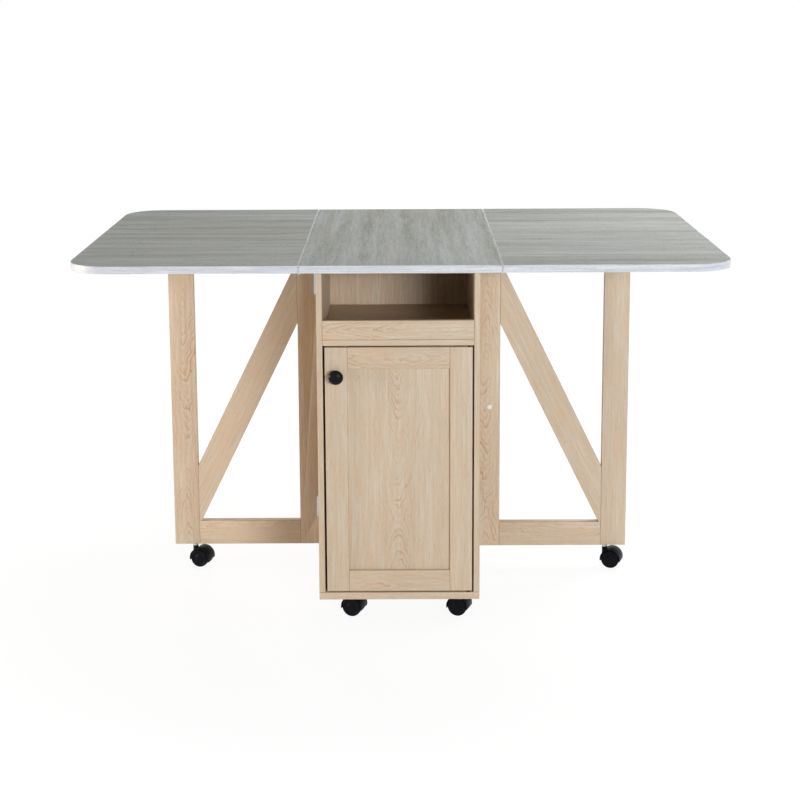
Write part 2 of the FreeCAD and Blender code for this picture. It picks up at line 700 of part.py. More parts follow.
def build_fasteners():
    """Cams with their bolts, the two kinds of carcass screw, and shelf pins."""
    items = []
    for label, (level, rows) in cam_places().items():
        for row, distance in enumerate(rows):
            y = f"{distance} - layout.half_depth"
            for end, sign in (("left", "-"), ("right", "")):
                tag = f"{label}_{row}_{end}"
                cam = cylinder(f"cam_{tag}", "size.cam_radius", "size.cam_height")
                cam_x = f"{sign}(layout.half_inside - size.cam_back)"
                items.append(place(cam, cam_x, y, level))
                length = "size.cam_bolt_depth + size.cam_back - size.cam_radius"
                bolt = cylinder(f"bolt_{tag}", "size.cam_bolt_radius", length)
                if end == "left":
                    start = "-layout.half_inside - size.cam_bolt_depth"
                else:
                    start = "layout.half_inside - size.cam_back + size.cam_radius"
                items.append(place(bolt, start, y, f"{level} + size.board / 2",
                                   rotation=Z_TO_RIGHT))
    for number, (x, y) in enumerate(base_screw_places()):
        item = screw(f"base_screw_{number}", "size.base_board + size.base_screw_grip")
        items.append(place(item, x, y, "layout.caster_height"))
    for number, (x, y) in enumerate(top_screw_places()):
        item = screw(f"top_screw_{number}", "size.board + size.top_screw_grip")
        items.append(place(item, x, y, "layout.ceiling"))
    group("carcass_fasteners", items)

    pins = []
    for number, (distance, level) in enumerate(shelf_pin_places()):
        y = f"{distance} - layout.half_depth"
        for end, start in (("left", "-layout.half_inside - size.pin_depth"),
                           ("right", "layout.half_inside - size.pin_depth")):
            pin = cylinder(f"shelf_pin_{number}_{end}", "size.pin_radius", "2 * size.pin_depth")
            pins.append(place(pin, start, y, f"{level} - size.pin_radius",
                              rotation=Z_TO_RIGHT))
    group("shelf_pins", pins)


def build_catch():
    """The magnetic catch under the niche floor: a case with a magnet slot."""
    body = board("magnetic_catch", "size.catch_wide", "size.catch_deep", "size.catch_tall",
                 "layout.catch_left", "layout.catch_face",
                 "layout.cupboard_top - size.catch_tall")
    primitive(body, "SubtractiveBox", "size.catch_wide / 4", "0", "size.catch_tall / 4",
              Length="size.catch_wide / 2", Width="size.magnet_recess",
              Height="size.catch_tall / 2")


# ---------------------------------------------------------------- door

def grooved(name, wide, tall, groove_at, x, z):
    """A stile or rail with the panel's groove in its inner edge.

    groove_at is the inner edge: "right", "left", "low" or "high".
    """
    body = board(name, wide, "size.door_thickness", tall, x, "-layout.half_depth", z)
    upright = groove_at in ("right", "left")
    length = "size.groove_depth" if upright else wide
    height = tall if upright else "size.groove_depth"
    start_x = f"{wide} - size.groove_depth" if groove_at == "right" else "0"
    start_z = f"{tall} - size.groove_depth" if groove_at == "high" else "0"
    primitive(body, "SubtractiveBox", start_x, "size.panel_recess", start_z,
              Length=length, Width="size.door_panel", Height=height)
    return body


def build_door():
    """Frame and panel door with its knob, pivot pins and strike plate."""
    inner = "layout.door_width - size.door_stile"
    latch = grooved("door_stile_latch", "size.door_stile", "layout.door_height", "right",
                    "layout.door_left", "layout.door_low")
    knob_height = "layout.door_height - size.knob_drop"
    drill(latch, "size.door_stile / 2", "0", knob_height, "size.screw_radius",
          "size.door_thickness", Z_TO_BACK)
    pivot = grooved("door_stile_pivot", "size.door_stile", "layout.door_height", "left",
                    f"layout.door_left + {inner}", "layout.door_low")
    pin_x = "size.door_stile - size.pivot_inset"
    drill(pivot, pin_x, "size.pivot_depth", "0", "size.pivot_radius", "size.pivot_grip")
    drill(pivot, pin_x, "size.pivot_depth", "layout.door_height - size.pivot_grip",
          "size.pivot_radius", "size.pivot_grip")
    rail_wide = "layout.door_width - 2 * size.door_stile"
    rail_x = "layout.door_left + size.door_stile"
    grooved("door_rail_lower", rail_wide, "size.door_rail", "high", rail_x, "layout.door_low")
    grooved("door_rail_upper", rail_wide, "size.door_rail", "low", rail_x,
            "layout.door_low + layout.door_height - size.door_rail")
    board("door_panel", "layout.panel_width", "size.door_panel", "layout.panel_height",
          "layout.door_left + size.door_stile - size.groove_depth",
          "size.panel_recess - layout.half_depth",
          "layout.door_low + size.door_rail - size.groove_depth")
    build_knob()
    build_door_fittings()


def build_knob():
    """Mushroom knob: foot, neck and domed head, turned about local Z."""
    body = new_body("door_knob")
    primitive(body, "AdditiveCylinder", "0", "0", "0",
              Radius="size.knob_foot_radius", Height="size.knob_foot")
    primitive(body, "AdditiveCylinder", "0", "0", "0",
              Radius="size.knob_neck_radius", Height="size.knob_reach")
    head = primitive(body, "AdditiveCylinder", "0", "0", "size.knob_reach - size.knob_head",
                     Radius="size.knob_radius", Height="size.knob_head")
    top = value("size.knob_reach")
    rim = value("size.knob_radius")
    foot = value("size.knob_foot")

    def is_circle_at(edge, radius, z):
        middle = edge.BoundBox.Center
        return abs(middle.z - z) < 1e-6 and abs(edge.BoundBox.XMax - radius) < 1e-3

    dome = round_edges(body, head, "size.knob_head * size.knob_dome",
                       lambda e: is_circle_at(e, rim, top))
    bottom = top - value("size.knob_head")
    under = round_edges(body, dome, "size.knob_head * size.knob_under",
                        lambda e: is_circle_at(e, rim, bottom))
    foot_radius = value("size.knob_foot_radius")
    round_edges(body, under, "size.knob_foot / 3",
                lambda e: is_circle_at(e, foot_radius, foot))
    drill(body, "0", "0", "0", "size.screw_radius", "size.knob_screw_hole")
    place(body, "layout.door_left + size.door_stile / 2", "-layout.half_depth",
          "layout.door_low + layout.door_height - size.knob_drop", rotation=Z_TO_FRONT)
    node("door_knob", body)


def build_door_fittings():
    """Pivot pins, the lower one with a washer, the strike and knob screw."""
    length = "size.pivot_grip + size.door_gap_high + size.pivot_reach"
    upper = cylinder("upper_pivot_pin", "size.pivot_radius", length)
    place(upper, "layout.pivot_x", "layout.pivot_y",
          "layout.door_low + layout.door_height - size.pivot_grip")
    lower = new_body("lower_pivot_pin")
    primitive(lower, "AdditiveCylinder", "0", "0", "0", Radius="size.pivot_radius",
              Height="size.pivot_grip + size.door_gap_low + size.pivot_reach")
    primitive(lower, "AdditiveCylinder", "0", "0", "size.pivot_reach + size.collar_play",
              Radius="size.collar_radius", Height="size.door_gap_low - size.collar_play")
    place(lower, "layout.pivot_x", "layout.pivot_y",
          "layout.carcass_low - size.pivot_reach")
    strike = doc.addObject("Part::Box", "strike_plate")
    bind(strike, Length="size.strike_wide", Width="size.strike_thickness",
         Height="size.strike_tall")
    place(strike, "layout.catch_left + (size.catch_wide - size.strike_wide) / 2",
          "layout.door_back",
          "layout.door_low + layout.door_height - size.strike_tall - size.strike_drop")
    knob_screw = screw("knob_screw", "size.screw_head + size.door_thickness + size.knob_screw_grip")
    place(knob_screw, "layout.door_left + size.door_stile / 2",
          "layout.door_back + size.screw_head",
          "layout.door_low + layout.door_height - size.knob_drop", rotation=Z_TO_FRONT)
    group("door_fittings", [upper, lower, strike, knob_screw])


# ---------------------------------------------------------------- gates

def build_gate(side, frame):
    """A gate in its open place, as the left gate or as that turned about."""
    deep = "size.gate_thickness"
    outer = board(f"gate_outer_stile_{side}", "size.gate_stile", deep, "layout.gate_height",
                  "-layout.gate_outer", "0", "layout.caster_height", frame)
    drill(outer, "size.gate_caster_inset", "layout.gate_stem_y", "0",
          "size.thread_radius", "size.thread_length")
    inner = board(f"gate_inner_stile_{side}", "size.gate_stile", deep, "layout.gate_height",
                  "-layout.gate_inner - size.gate_stile", "0", "layout.caster_height", frame)
    screw_x = "layout.gate_inner + size.gate_stile - layout.gate_pin_x - size.hinge_screw_out"
    for z in gate_screw_levels():
        pilot(inner, screw_x, "0", f"{z} - layout.caster_height", Z_TO_BACK)
    hole_left = "-layout.gate_outer + size.gate_stile"
    hole_low = "layout.caster_height + size.gate_rail"
    board(f"gate_rail_lower_{side}", "layout.gate_hole_width", deep, "size.gate_rail",
          hole_left, "0", "layout.caster_height", frame)
    board(f"gate_rail_upper_{side}", "layout.gate_hole_width", deep, "size.gate_rail",
          hole_left, "0", "layout.gate_top - size.gate_rail", frame)
    build_brace(side, hole_left, hole_low, frame)

    bumper = cylinder(f"gate_bumper_{side}", "size.bumper_radius", "size.bumper_height")
    place(bumper, "-layout.half_width - size.bumper_out",
          "size.gate_thickness + size.bumper_height",
          "layout.caster_height + size.bumper_rise", frame, Z_TO_FRONT)
    node(f"gate_bumper_{side}", bumper)


def build_brace(side, hole_left, hole_low, frame):
    """The diagonal from the lower outer to the upper inner corner.

    In the frame's hole, measured from its lower outer corner, the brace's
    lower edge is brace_lap inside that corner, and its upper edge is the same
    beyond the upper inner one.
    """
    wide, tall = "layout.gate_hole_width", "layout.gate_hole_height"
    slope_sin, slope_cos = "sin(layout.brace_angle)", "cos(layout.brace_angle)"
    lap, across = "size.brace_lap", "(size.brace_width - size.brace_lap)"
    body = new_body(f"gate_brace_{side}")
    outline = sketch_on(body, "XZ_Plane")
    polygon(outline, [
        ("0", "0"),
        (f"{lap} / {slope_cos}", "0"),
        (wide, f"({wide} * {slope_cos} - {lap}) / {slope_sin}"),
        (wide, tall),
        (f"({tall} * {slope_sin} - {across}) / {slope_cos}", tall),
        ("0", f"{across} / {slope_sin}"),
    ])
    pad(body, outline, "size.gate_thickness")
    # the XZ plane faces the front, so the brace lies in front of its origin
    place(body, hole_left, "size.gate_thickness", hole_low, frame)
    node(f"gate_brace_{side}", body)


# ---------------------------------------------------------------- casters

def build_hood(name):
    """Caster hood: half drum over two wheels, middle wall and swivel neck.

    Local Z is the swivel stem, from the floor, local Y the axle's direction.
    """
    body = new_body(name)
    half = "size.wheel_outer"
    primitive(body, "AdditiveCylinder", "size.trail", half, "size.wheel_radius",
              Z_TO_FRONT, Radius="layout.hood_radius", Height=f"2 * {half}")
    primitive(body, "AdditiveCylinder", "0", "0", "size.wheel_radius",
              Radius="size.neck_radius", Height="layout.neck_top - size.wheel_radius")
    cavity = f"{half} - size.web / 2"
    for start in (half, "-size.web / 2"):
        primitive(body, "SubtractiveCylinder", "size.trail", start, "size.wheel_radius",
                  Z_TO_FRONT, Radius="layout.cavity_radius", Height=cavity)
    primitive(body, "SubtractiveBox", "size.trail - 2 * layout.hood_radius", f"-{half}",
              "-layout.hood_radius", Length="4 * layout.hood_radius", Width=f"2 * {half}",
              Height="layout.hood_low + layout.hood_radius")
    primitive(body, "AdditiveCylinder", "size.trail", "size.web / 2", "size.wheel_radius",
              Z_TO_FRONT, Radius="size.axle_boss", Height="size.web")
    drill(body, "size.trail", half, "size.wheel_radius", "size.axle_radius + size.shaft_play",
          f"2 * {half}", Z_TO_FRONT)
    drill(body, "0", "0", "layout.stem_low - size.stem_clear",
          "size.stem_radius + size.shaft_play",
          "layout.neck_top - layout.stem_low + size.stem_clear")
    return body


def build_wheel(name, sign):
    """One wheel, turned about local Y, on the side that sign gives."""
    tread = "size.wheel_radius"
    near, far = "size.wheel_inner", "size.wheel_outer"
    dish_edge = f"{tread} - size.wheel_edge - size.wheel_rim"
    body = new_body(name)
    outline = sketch_on(body, "XY_Plane")
    section = [
        ("size.axle_radius", near),
        (f"{tread} - size.wheel_inner_edge", near),
        (tread, f"{near} + size.wheel_inner_edge"),
        (tread, f"{far} - size.wheel_edge"),
        (f"{tread} - size.wheel_edge", far),
        (dish_edge, far),
        (f"{dish_edge} - size.wheel_dish", f"{far} - size.wheel_dish"),
        ("size.wheel_hub + size.wheel_dish", f"{far} - size.wheel_dish"),
        ("size.wheel_hub", far),
        ("size.axle_radius", far),
    ]
    polygon(outline, [(r, f"{sign} * ({a})") for r, a in section])
    turned = body.newObject("PartDesign::Revolution", "Revolution")
    turned.Profile = outline
    turned.ReferenceAxis = (outline, ["V_Axis"])
    turned.Angle = 360
    return body


def build_wheels(name):
    """Two wheels pressed on one axle, about local Y."""
    axle = cylinder(f"{name}_axle", "size.axle_radius", "2 * (size.wheel_outer - size.axle_inset)")
    axle.Placement = FreeCAD.Placement(Vector(), Z_TO_FRONT)
    axle.setExpression("Placement.Base.y", "size.wheel_outer - size.axle_inset")
    near = build_wheel(f"{name}_front", -1)
    far = build_wheel(f"{name}_back", 1)
    return group(name, [near, far, axle])


def gate_stem(side, frame):
    """Threaded stem with its nut, up into the gate's outer stile."""
    body = new_body(f"gate_caster_stem_{side}")
    primitive(body, "AdditiveCylinder", "0", "0", "layout.collar_low",
              Radius="size.collar", Height="layout.caster_height - layout.collar_low")
    primitive(body, "AdditiveCylinder", "0", "0", "layout.stem_low",
              Radius="size.stem_radius", Height="layout.collar_low - layout.stem_low")
    primitive(body, "AdditiveCylinder", "0", "0", "layout.collar_low",
              Radius="size.thread_radius",
              Height="layout.caster_height - layout.collar_low + size.thread_length")
    place(body, "-layout.gate_stem_x", "layout.gate_stem_y", "0", frame)
    return node(f"gate_caster_stem_{side}", body)


def plate_screw_places(x, y):
    """X and Y of the four screws of a caster plate whose stem is at x, y."""
    return [(f"{x} {a} size.plate_screw_out", f"{y} {b} size.plate_screw_out")
            for a in "-+" for b in "-+"]


def cabinet_stem_places():
    """Name, X and Y of the cabinet's four casters."""
    return [(f"{end}_{side}", f"{a}layout.cabinet_stem_x", f"{b}layout.cabinet_stem_y")
            for end, b in (("front", "-"), ("rear", ""))
            for side, a in (("left", "-"), ("right", ""))]


def plate_stem(name):
    """Mounting plate with its ring and swivel stem, under the cabinet."""
    body = new_body(name)
    outline = sketch_on(body, "XY_Plane", "layout.caster_height - size.plate_thick")
    half = "size.plate_wide / 2"
    rectangle(outline, f"-{half}", f"-{half}", half, half)
    pad(body, outline, "size.plate_thick")
    primitive(body, "AdditiveCylinder", "0", "0", "layout.collar_low",
              Radius="size.boss_radius", Height="layout.caster_height - layout.collar_low")
    primitive(body, "AdditiveCylinder", "0", "0", "layout.stem_low",
              Radius="size.stem_radius", Height="layout.collar_low - layout.stem_low")
    for x, y in plate_screw_places("0", "0"):
        low = "layout.caster_height - size.plate_thick"
        countersink(body, x, y, low)
        drill(body, x, y, low, "size.small_screw_radius", "size.plate_thick")
    return body


def place_at_stem(item, x, y, z, along):
    """Turn a caster piece to the rest angle, `along` ahead of its stem."""
    item.Placement = FreeCAD.Placement(Vector(), Rotation(Vector(0, 0, 1), 1))
    bind(item, **{
        "Placement.Rotation.Angle": "-size.swivel_rest",
        "Placement.Base.x": f"size.base_shift + {x} + {along} * cos(size.swivel_rest)",
        "Placement.Base.y": f"{y} - {along} * sin(size.swivel_rest)",
        "Placement.Base.z": z,
    })


def build_caster(place_name, x, y):
    """Hood and wheel pair of one caster whose stem stands at x, y."""
    hood = node(f"caster_hood_{place_name}", build_hood(f"caster_hood_{place_name}"))
    place_at_stem(hood, x, y, "0", "0")
    wheels = build_wheels(f"caster_wheels_{place_name}")
    place_at_stem(wheels, x, y, "size.wheel_radius", "size.trail")


def build_casters():
    """One caster under each gate and one under each cabinet corner."""
    gate_stem("left", "cabinet")
    gate_stem("right", "turned cabinet")
    build_caster("gate_left", "-layout.gate_stem_x", "layout.gate_stem_y")
    build_caster("gate_right", "layout.gate_stem_x", "-layout.gate_stem_y")
    plates = []
    for name, x, y in cabinet_stem_places():
        plates.append(place(plate_stem(f"caster_plate_{name}"), x, y, "0"))
        for screw_x, screw_y in plate_screw_places(x, y):
            item = countersunk_screw(f"plate_screw_{name}")
            low = "layout.caster_height - size.plate_thick"
            plates.append(place(item, screw_x, screw_y, low))
        build_caster(name, x, y)
    group("caster_plates", plates)


# ---------------------------------------------------------------- model

def check_document():
    """Stop unless every object computed and every sub-part is a valid solid."""
    faults = [f"{o.Label}: {o.State}" for o in doc.Objects
              if "Invalid" in o.State or "Error" in o.State]
    for item in nodes:
        shape = item.Shape
        if shape.isNull() or not shape.isValid() or not shape.Solids:
            faults.append(f"{item.Label}: no valid solid")
    labels = [item.Label for item in nodes]
    faults += [f"{label}: label used twice" for label in set(labels) if labels.count(label) > 1]
    if faults:
        raise RuntimeError("\n".join(faults))


size = fill_sheet("size", [(alias, str(number), note) for alias, number, note in DRIVING])
layout = fill_sheet("layout", [(alias, "=" + formula, "") for alias, formula in DERIVED])
doc.recompute()

build_centre()
build_leaf("left", "table")
build_leaf("right", "turned table")
build_leaf_hinges()
build_carcass()
build_fasteners()
build_catch()
build_door()
build_gate("left", "cabinet")
build_gate("right", "turned cabinet")
build_gate_hinges()
build_casters()

doc.recompute()
check_document()
os.makedirs("parts", exist_ok=True)
for item in nodes:
    item.Shape.exportStep(f"parts/{item.Label}.step")
    box = item.Shape.BoundBox
    print(f"{item.Label}: {len(item.Shape.Solids)} solids, volume {item.Shape.Volume:.0f}, "
          f"x {box.XMin:.1f} {box.XMax:.1f} y {box.YMin:.1f} {box.YMax:.1f} "
          f"z {box.ZMin:.1f} {box.ZMax:.1f}")
print(len(nodes), "nodes")
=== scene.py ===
# Looks of a drop-leaf kitchen table on a wheeled storage cabinet, laid out as an add-on.
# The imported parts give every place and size, in metres: X right, Y to the back, Z up.
import json
import math

import bmesh
import bpy
from bpy.props import FloatProperty, FloatVectorProperty, PointerProperty
from mathutils import Matrix, Vector

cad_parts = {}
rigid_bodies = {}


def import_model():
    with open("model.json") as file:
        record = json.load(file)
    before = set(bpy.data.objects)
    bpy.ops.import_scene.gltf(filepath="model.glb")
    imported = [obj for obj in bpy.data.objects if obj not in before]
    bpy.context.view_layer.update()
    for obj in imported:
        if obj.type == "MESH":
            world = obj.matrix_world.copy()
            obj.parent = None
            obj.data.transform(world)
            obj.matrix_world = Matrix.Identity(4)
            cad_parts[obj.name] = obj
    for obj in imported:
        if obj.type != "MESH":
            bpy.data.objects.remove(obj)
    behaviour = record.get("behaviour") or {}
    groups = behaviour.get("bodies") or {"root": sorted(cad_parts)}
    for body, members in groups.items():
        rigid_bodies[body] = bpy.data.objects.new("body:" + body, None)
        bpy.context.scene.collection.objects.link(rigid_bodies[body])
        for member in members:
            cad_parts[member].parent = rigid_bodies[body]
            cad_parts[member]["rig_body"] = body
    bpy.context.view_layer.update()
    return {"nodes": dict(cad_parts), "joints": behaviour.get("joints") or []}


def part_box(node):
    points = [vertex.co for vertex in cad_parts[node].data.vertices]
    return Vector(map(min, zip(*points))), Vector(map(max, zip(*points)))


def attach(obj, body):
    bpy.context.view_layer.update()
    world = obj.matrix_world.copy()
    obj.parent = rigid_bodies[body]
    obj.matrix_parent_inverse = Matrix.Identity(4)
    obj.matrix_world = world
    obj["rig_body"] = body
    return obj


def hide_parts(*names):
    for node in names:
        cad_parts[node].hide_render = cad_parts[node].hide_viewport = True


bl_info = {
    "name": "Kitchen Table Looks",
    "version": (1, 0, 0),
    "blender": (4, 5, 0),
    "location": "View3D > Sidebar > Table",
    "description": "Finishes and studio for a drop-leaf kitchen table with a storage cabinet",
    "category": "Object",
}

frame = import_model()
NODES = frame["nodes"]
JOINTS = {joint["name"]: joint for joint in frame["joints"]}
MM = 0.001
SIDES = ("left", "right")
CASTERS = ("gate_left", "gate_right", "front_left", "front_right", "rear_left", "rear_right")


# ---------------------------------------------------------------- colours and nodes

def linear(code):
    """Linear RGBA of an sRGB hex colour."""
    shares = [int(code[i:i + 2], 16) / 255 for i in (1, 3, 5)]
    return (*(c / 12.92 if c <= 0.04045 else ((c + 0.055) / 1.055) ** 2.4 for c in shares), 1.0)


def add_node(tree, kind, settings, sockets):
    """Add a shader node, set its properties, and set or link its inputs."""
    node = tree.nodes.new("ShaderNode" + kind)
    for name, value in settings.items():
        setattr(node, name, value)
    for key, value in sockets.items():
        if isinstance(value, bpy.types.NodeSocket):
            tree.links.new(value, node.inputs[key])
        else:
            node.inputs[key].default_value = value
    return node


def new_material(name, roughness, metallic=0.0, colour=None):
    """A material with its shader, and the tree that both stand in."""
    material = bpy.data.materials.new(name)
    material.use_nodes = True
    shader = material.node_tree.nodes["Principled BSDF"]
    shader.inputs["Roughness"].default_value = roughness
    shader.inputs["Metallic"].default_value = metallic
    if colour:
        shader.inputs["Base Color"].default_value = colour
    return material, material.node_tree, shader


# ---------------------------------------------------------------- sizes and colours to change

def length(name, description, default):
    """A size in metres."""
    return FloatProperty(name=name, description=description, default=default, min=0.0,
                         unit="LENGTH", precision=5)


def colour(name, description, code):
    """A colour, from its sRGB hex value."""
    return FloatVectorProperty(name=name, description=description, default=linear(code),
                               size=4, min=0.0, max=1.0, subtype="COLOR")


class OakLooks(bpy.types.PropertyGroup):
    """Oak-print melamine board."""

    light: colour("Light", "Palest earlywood", "#D9CEBD")
    shade: colour("Shade", "Darker bands of earlywood", "#C3AF96")
    warm: colour("Warm", "Orange-tinted streaks", "#D2B595")
    late: colour("Late", "Latewood lines and pores", "#AE7C50")
    # painted shade: a darker colour for the eased edges and bores of the boards, standing in for the shade
    # along edges and joints
    line: colour("Painted edge shade", "Painted shade along the eased edges and in the bores", "#A98662")
    ring: length("Ring spacing", "One year's growth", 0.0042)
    repeat: length("Figure repeat", "Eye of a cathedral figure to its far end", 0.34)
    edge: length("Edge radius", "Eased edges of the boards", 0.0005)


class TopLooks(bpy.types.PropertyGroup):
    """Travertine-print laminate and its edging."""

    pale: colour("Pale stone", "Pale veins", "#B9BDBB")
    dark: colour("Dark stone", "Dark veins", "#86887F")
    brown: colour("Brown veins", "Brownish veins", "#A39E92")
    wisp: colour("Wisps", "Thin pale wisps", "#C9CBC8")
    pit: colour("Pits", "Filled pits of the stone", "#74716A")
    band: colour("Edging", "Edge band", "#E8EBF2")
    streak: colour("Edging streaks", "Streaks along the edge band", "#ADB2BD")
    # painted light: a warmer, slightly lighter tone for the bands along the seams, standing in for the
    # light the seam edges catch
    seam_light: colour("Painted seam light", "Edge band along the seams, where the panels meet", "#EBECE6")
    edge: length("Edge radius", "Rounded edges of the edge band", 0.0007)


class PartLooks(bpy.types.PropertyGroup):
    """Casters, knob and metal parts."""

    nylon: colour("Nylon", "Hoods and wheels of the casters", "#0B0D12")
    lacquer: colour("Lacquer", "Door knob", "#040407")
    zinc: colour("Zinc", "Hinges, stems, screws and pins", "#C6C9CC")
    oxide: colour("Black oxide", "Mounting plates of the casters and pins of the door", "#242527")
    rubber: colour("Rubber", "Leaf bumpers", "#E9F0F4")
    plastic: colour("Plastic", "Magnetic catch", "#E9E7E1")
    edge: length("Edge radius", "Moulded edges of the caster hoods", 0.0005)


class StudioLooks(bpy.types.PropertyGroup):
    """Floor, lamps and camera."""

    sky: FloatProperty(name="Sky", description="Even light from the sides, above and behind",
                       default=0.18, min=0.0)
    front: FloatProperty(name="Front", description="Even light from behind the camera", default=0.04,
                         min=0.0)
    key: FloatProperty(name="Key lamp", description="Wide, low lamp far off at the front right",
                       default=225.0, min=0.0, unit="POWER")
    glint: FloatProperty(name="Glint", description="Part of the key lamp that gloss shows", default=160.0,
                         min=0.0, unit="POWER")
    right: FloatProperty(name="Right lamp", description="Lamp over the right leaf", default=50.0,
                         min=0.0, unit="POWER")
    left: FloatProperty(name="Left lamp", description="Warm lamp far off at the left", default=138.0,
                        min=0.0, unit="POWER")
    back: FloatProperty(name="Back lamp", description="Lamp behind the table", default=130.0,
                        min=0.0, unit="POWER")
    lens: FloatProperty(name="Lens", description="Focal length in millimetres", default=72.5782,
                        min=1.0)
    rise: FloatProperty(name="Shift", description="Vertical shift of the frame", default=-0.17)


class TableLooks(bpy.types.PropertyGroup):
    """All that a user would change."""

    oak: PointerProperty(type=OakLooks)
    top: PointerProperty(type=TopLooks)
    part: PointerProperty(type=PartLooks)
    studio: PointerProperty(type=StudioLooks)


# ---------------------------------------------------------------- materials

def oak_melamine(looks):
    """Oak-print melamine on particle board, pressed with a fine pore texture.

    A warm pale beige: soft cathedral rings down the middle of a board, straight fibres beside
    them, short darker pores, and a satin sheen. The "grain" attribute gives metres across the
    grain from the figure's middle, metres along it, how fast the rings dip, and the contrast, and
    "arris" is 1 on eased edges and in bores, which get a darker line of painted shade.
    """
    material, tree, shader = new_material("Oak-print melamine, satin", 0.46)
    written = add_node(tree, "Attribute", {"attribute_name": "grain"}, {})
    grain, contrast = written.outputs["Vector"], written.outputs["Alpha"]
    parts = add_node(tree, "SeparateXYZ", {}, {"Vector": grain})

    def streaks(across, along, detail=2.0):
        """Noise whose marks are so many metres across and along the grain."""
        scaled = add_node(tree, "VectorMath", {"operation": "MULTIPLY"},
                          {0: grain, 1: (1 / across, 1 / along, 0.0)}).outputs[0]
        return add_node(tree, "TexNoise", {}, {"Vector": scaled, "Scale": 1.0, "Detail": detail,
                                               "Roughness": 0.55})

    def waver(source, across, along, reach):
        """The source moved sideways by noise, by half the reach either way."""
        shift = add_node(tree, "Math", {"operation": "MULTIPLY_ADD"},
                         {0: streaks(across, along).outputs["Fac"], 1: reach, 2: -reach / 2})
        return add_node(tree, "Math", {"operation": "ADD"}, {0: source, 1: shift.outputs[0]}).outputs[0]

    # the rings: hyperbolas round an eye, which stay as wide and follow each other along the board
    side = waver(waver(parts.outputs["X"], 0.07, 0.17, 0.034), 0.02, 0.035, 0.012)
    round_eye = add_node(tree, "Math", {"operation": "MULTIPLY_ADD"}, {0: side, 1: side, 2: 0.0001})
    wide = add_node(tree, "Math", {"operation": "SQRT"}, {0: round_eye.outputs[0]}).outputs[0]
    away = add_node(tree, "Math", {"operation": "PINGPONG"}, {0: parts.outputs["Y"], 1: looks.repeat})
    rise = add_node(tree, "Math", {"operation": "MULTIPLY_ADD"},
                    {0: away.outputs[0], 1: parts.outputs["Z"], 2: wide})
    age = waver(rise.outputs[0], 0.011, 0.022, 0.007)
    # the Wave Texture turns once in pi / 10 at a scale of 1
    rings = add_node(tree, "TexWave", {"wave_type": "BANDS", "bands_direction": "X",
                                       "wave_profile": "SAW"},
                     {"Vector": add_node(tree, "CombineXYZ", {}, {"X": age}).outputs[0],
                      "Scale": math.pi / 10 / looks.ring, "Distortion": 0.0})
    late = add_node(tree, "Math", {"operation": "POWER"}, {0: rings.outputs["Fac"], 1: 2.6})
    patch = add_node(tree, "MapRange", {}, {"Value": streaks(0.03, 0.16).outputs["Fac"],
                                            "From Min": 0.38, "From Max": 0.62,
                                            "To Min": 0.25, "To Max": 1.0})
    # rings stand out in the figure and fade to fine straight lines beside it
    figure = add_node(tree, "MapRange", {"interpolation_type": "SMOOTHSTEP"},
                      {"Value": wide, "From Min": 0.018, "From Max": 0.05, "To Min": 0.62, "To Max": 0.2})
    # good and poor years: some rings are darker than others
    years = add_node(tree, "TexNoise", {"noise_dimensions": "1D"}, {"W": age, "Scale": 0.7 / looks.ring})
    year = add_node(tree, "MapRange", {}, {"Value": years.outputs["Fac"], "From Min": 0.35,
                                           "From Max": 0.65, "To Min": 0.35, "To Max": 1.3})
    ring_mark = late.outputs[0]
    for share in (patch.outputs["Result"], figure.outputs["Result"], year.outputs["Result"], contrast):
        ring_mark = add_node(tree, "Math", {"operation": "MULTIPLY"}, {0: ring_mark, 1: share}).outputs[0]

    # real fibres are 0.3 mm apart: these are as coarse as they need to be to show
    fibre = streaks(0.0022, 0.06, 3.0).outputs["Fac"]
    pores = add_node(tree, "MapRange", {}, {"Value": streaks(0.0018, 0.016, 1.0).outputs["Fac"],
                                            "From Min": 0.62, "From Max": 0.74}).outputs["Result"]
    total = -1.5
    for value, weight in ((fibre, 1.3), (streaks(0.006, 0.25).outputs["Fac"], 1.0),
                          (streaks(0.035, 0.7).outputs["Fac"], 0.7)):
        total = add_node(tree, "Math", {"operation": "MULTIPLY_ADD"},
                         {0: value, 1: weight, 2: total}).outputs[0]
    ground_level = add_node(tree, "Math", {"operation": "MULTIPLY_ADD"}, {0: total, 1: contrast, 2: 0.5})
    ground = add_node(tree, "Mix", {"data_type": "RGBA", "clamp_factor": True},
                      {"Factor": ground_level.outputs[0], 6: tuple(looks.light), 7: tuple(looks.shade)})
    tint = add_node(tree, "MapRange", {}, {"Value": streaks(0.0045, 0.09, 3.0).outputs["Fac"],
                                           "From Min": 0.42, "From Max": 0.62, "To Max": 0.6})
    ground = add_node(tree, "Mix", {"data_type": "RGBA"},
                      {"Factor": tint.outputs["Result"], 6: ground.outputs[2], 7: tuple(looks.warm)})
    mark = add_node(tree, "Math", {"operation": "MULTIPLY_ADD"},
                    {0: pores, 1: 0.3, 2: ring_mark})
    paint = add_node(tree, "Mix", {"data_type": "RGBA", "clamp_factor": True},
                     {"Factor": mark.outputs[0], 6: ground.outputs[2], 7: tuple(looks.late)})
    # painted shade: eased edges and bores are mixed towards the darker edge colour, standing in for the
    # shade along edges and joints
    arris = add_node(tree, "Attribute", {"attribute_name": "arris"}, {}).outputs["Fac"]
    edge_shaded = add_node(tree, "Mix", {"data_type": "RGBA"},
                     {"Factor": arris, 6: paint.outputs[2], 7: tuple(looks.line)})
    tree.links.new(edge_shaded.outputs[2], shader.inputs["Base Color"])
    relief = add_node(tree, "Math", {"operation": "SUBTRACT"}, {0: fibre, 1: pores})
    bump = add_node(tree, "Bump", {}, {"Height": relief.outputs[0], "Strength": 0.25,
                                       "Distance": 0.0001})
    tree.links.new(bump.outputs[0], shader.inputs["Normal"])
    return material


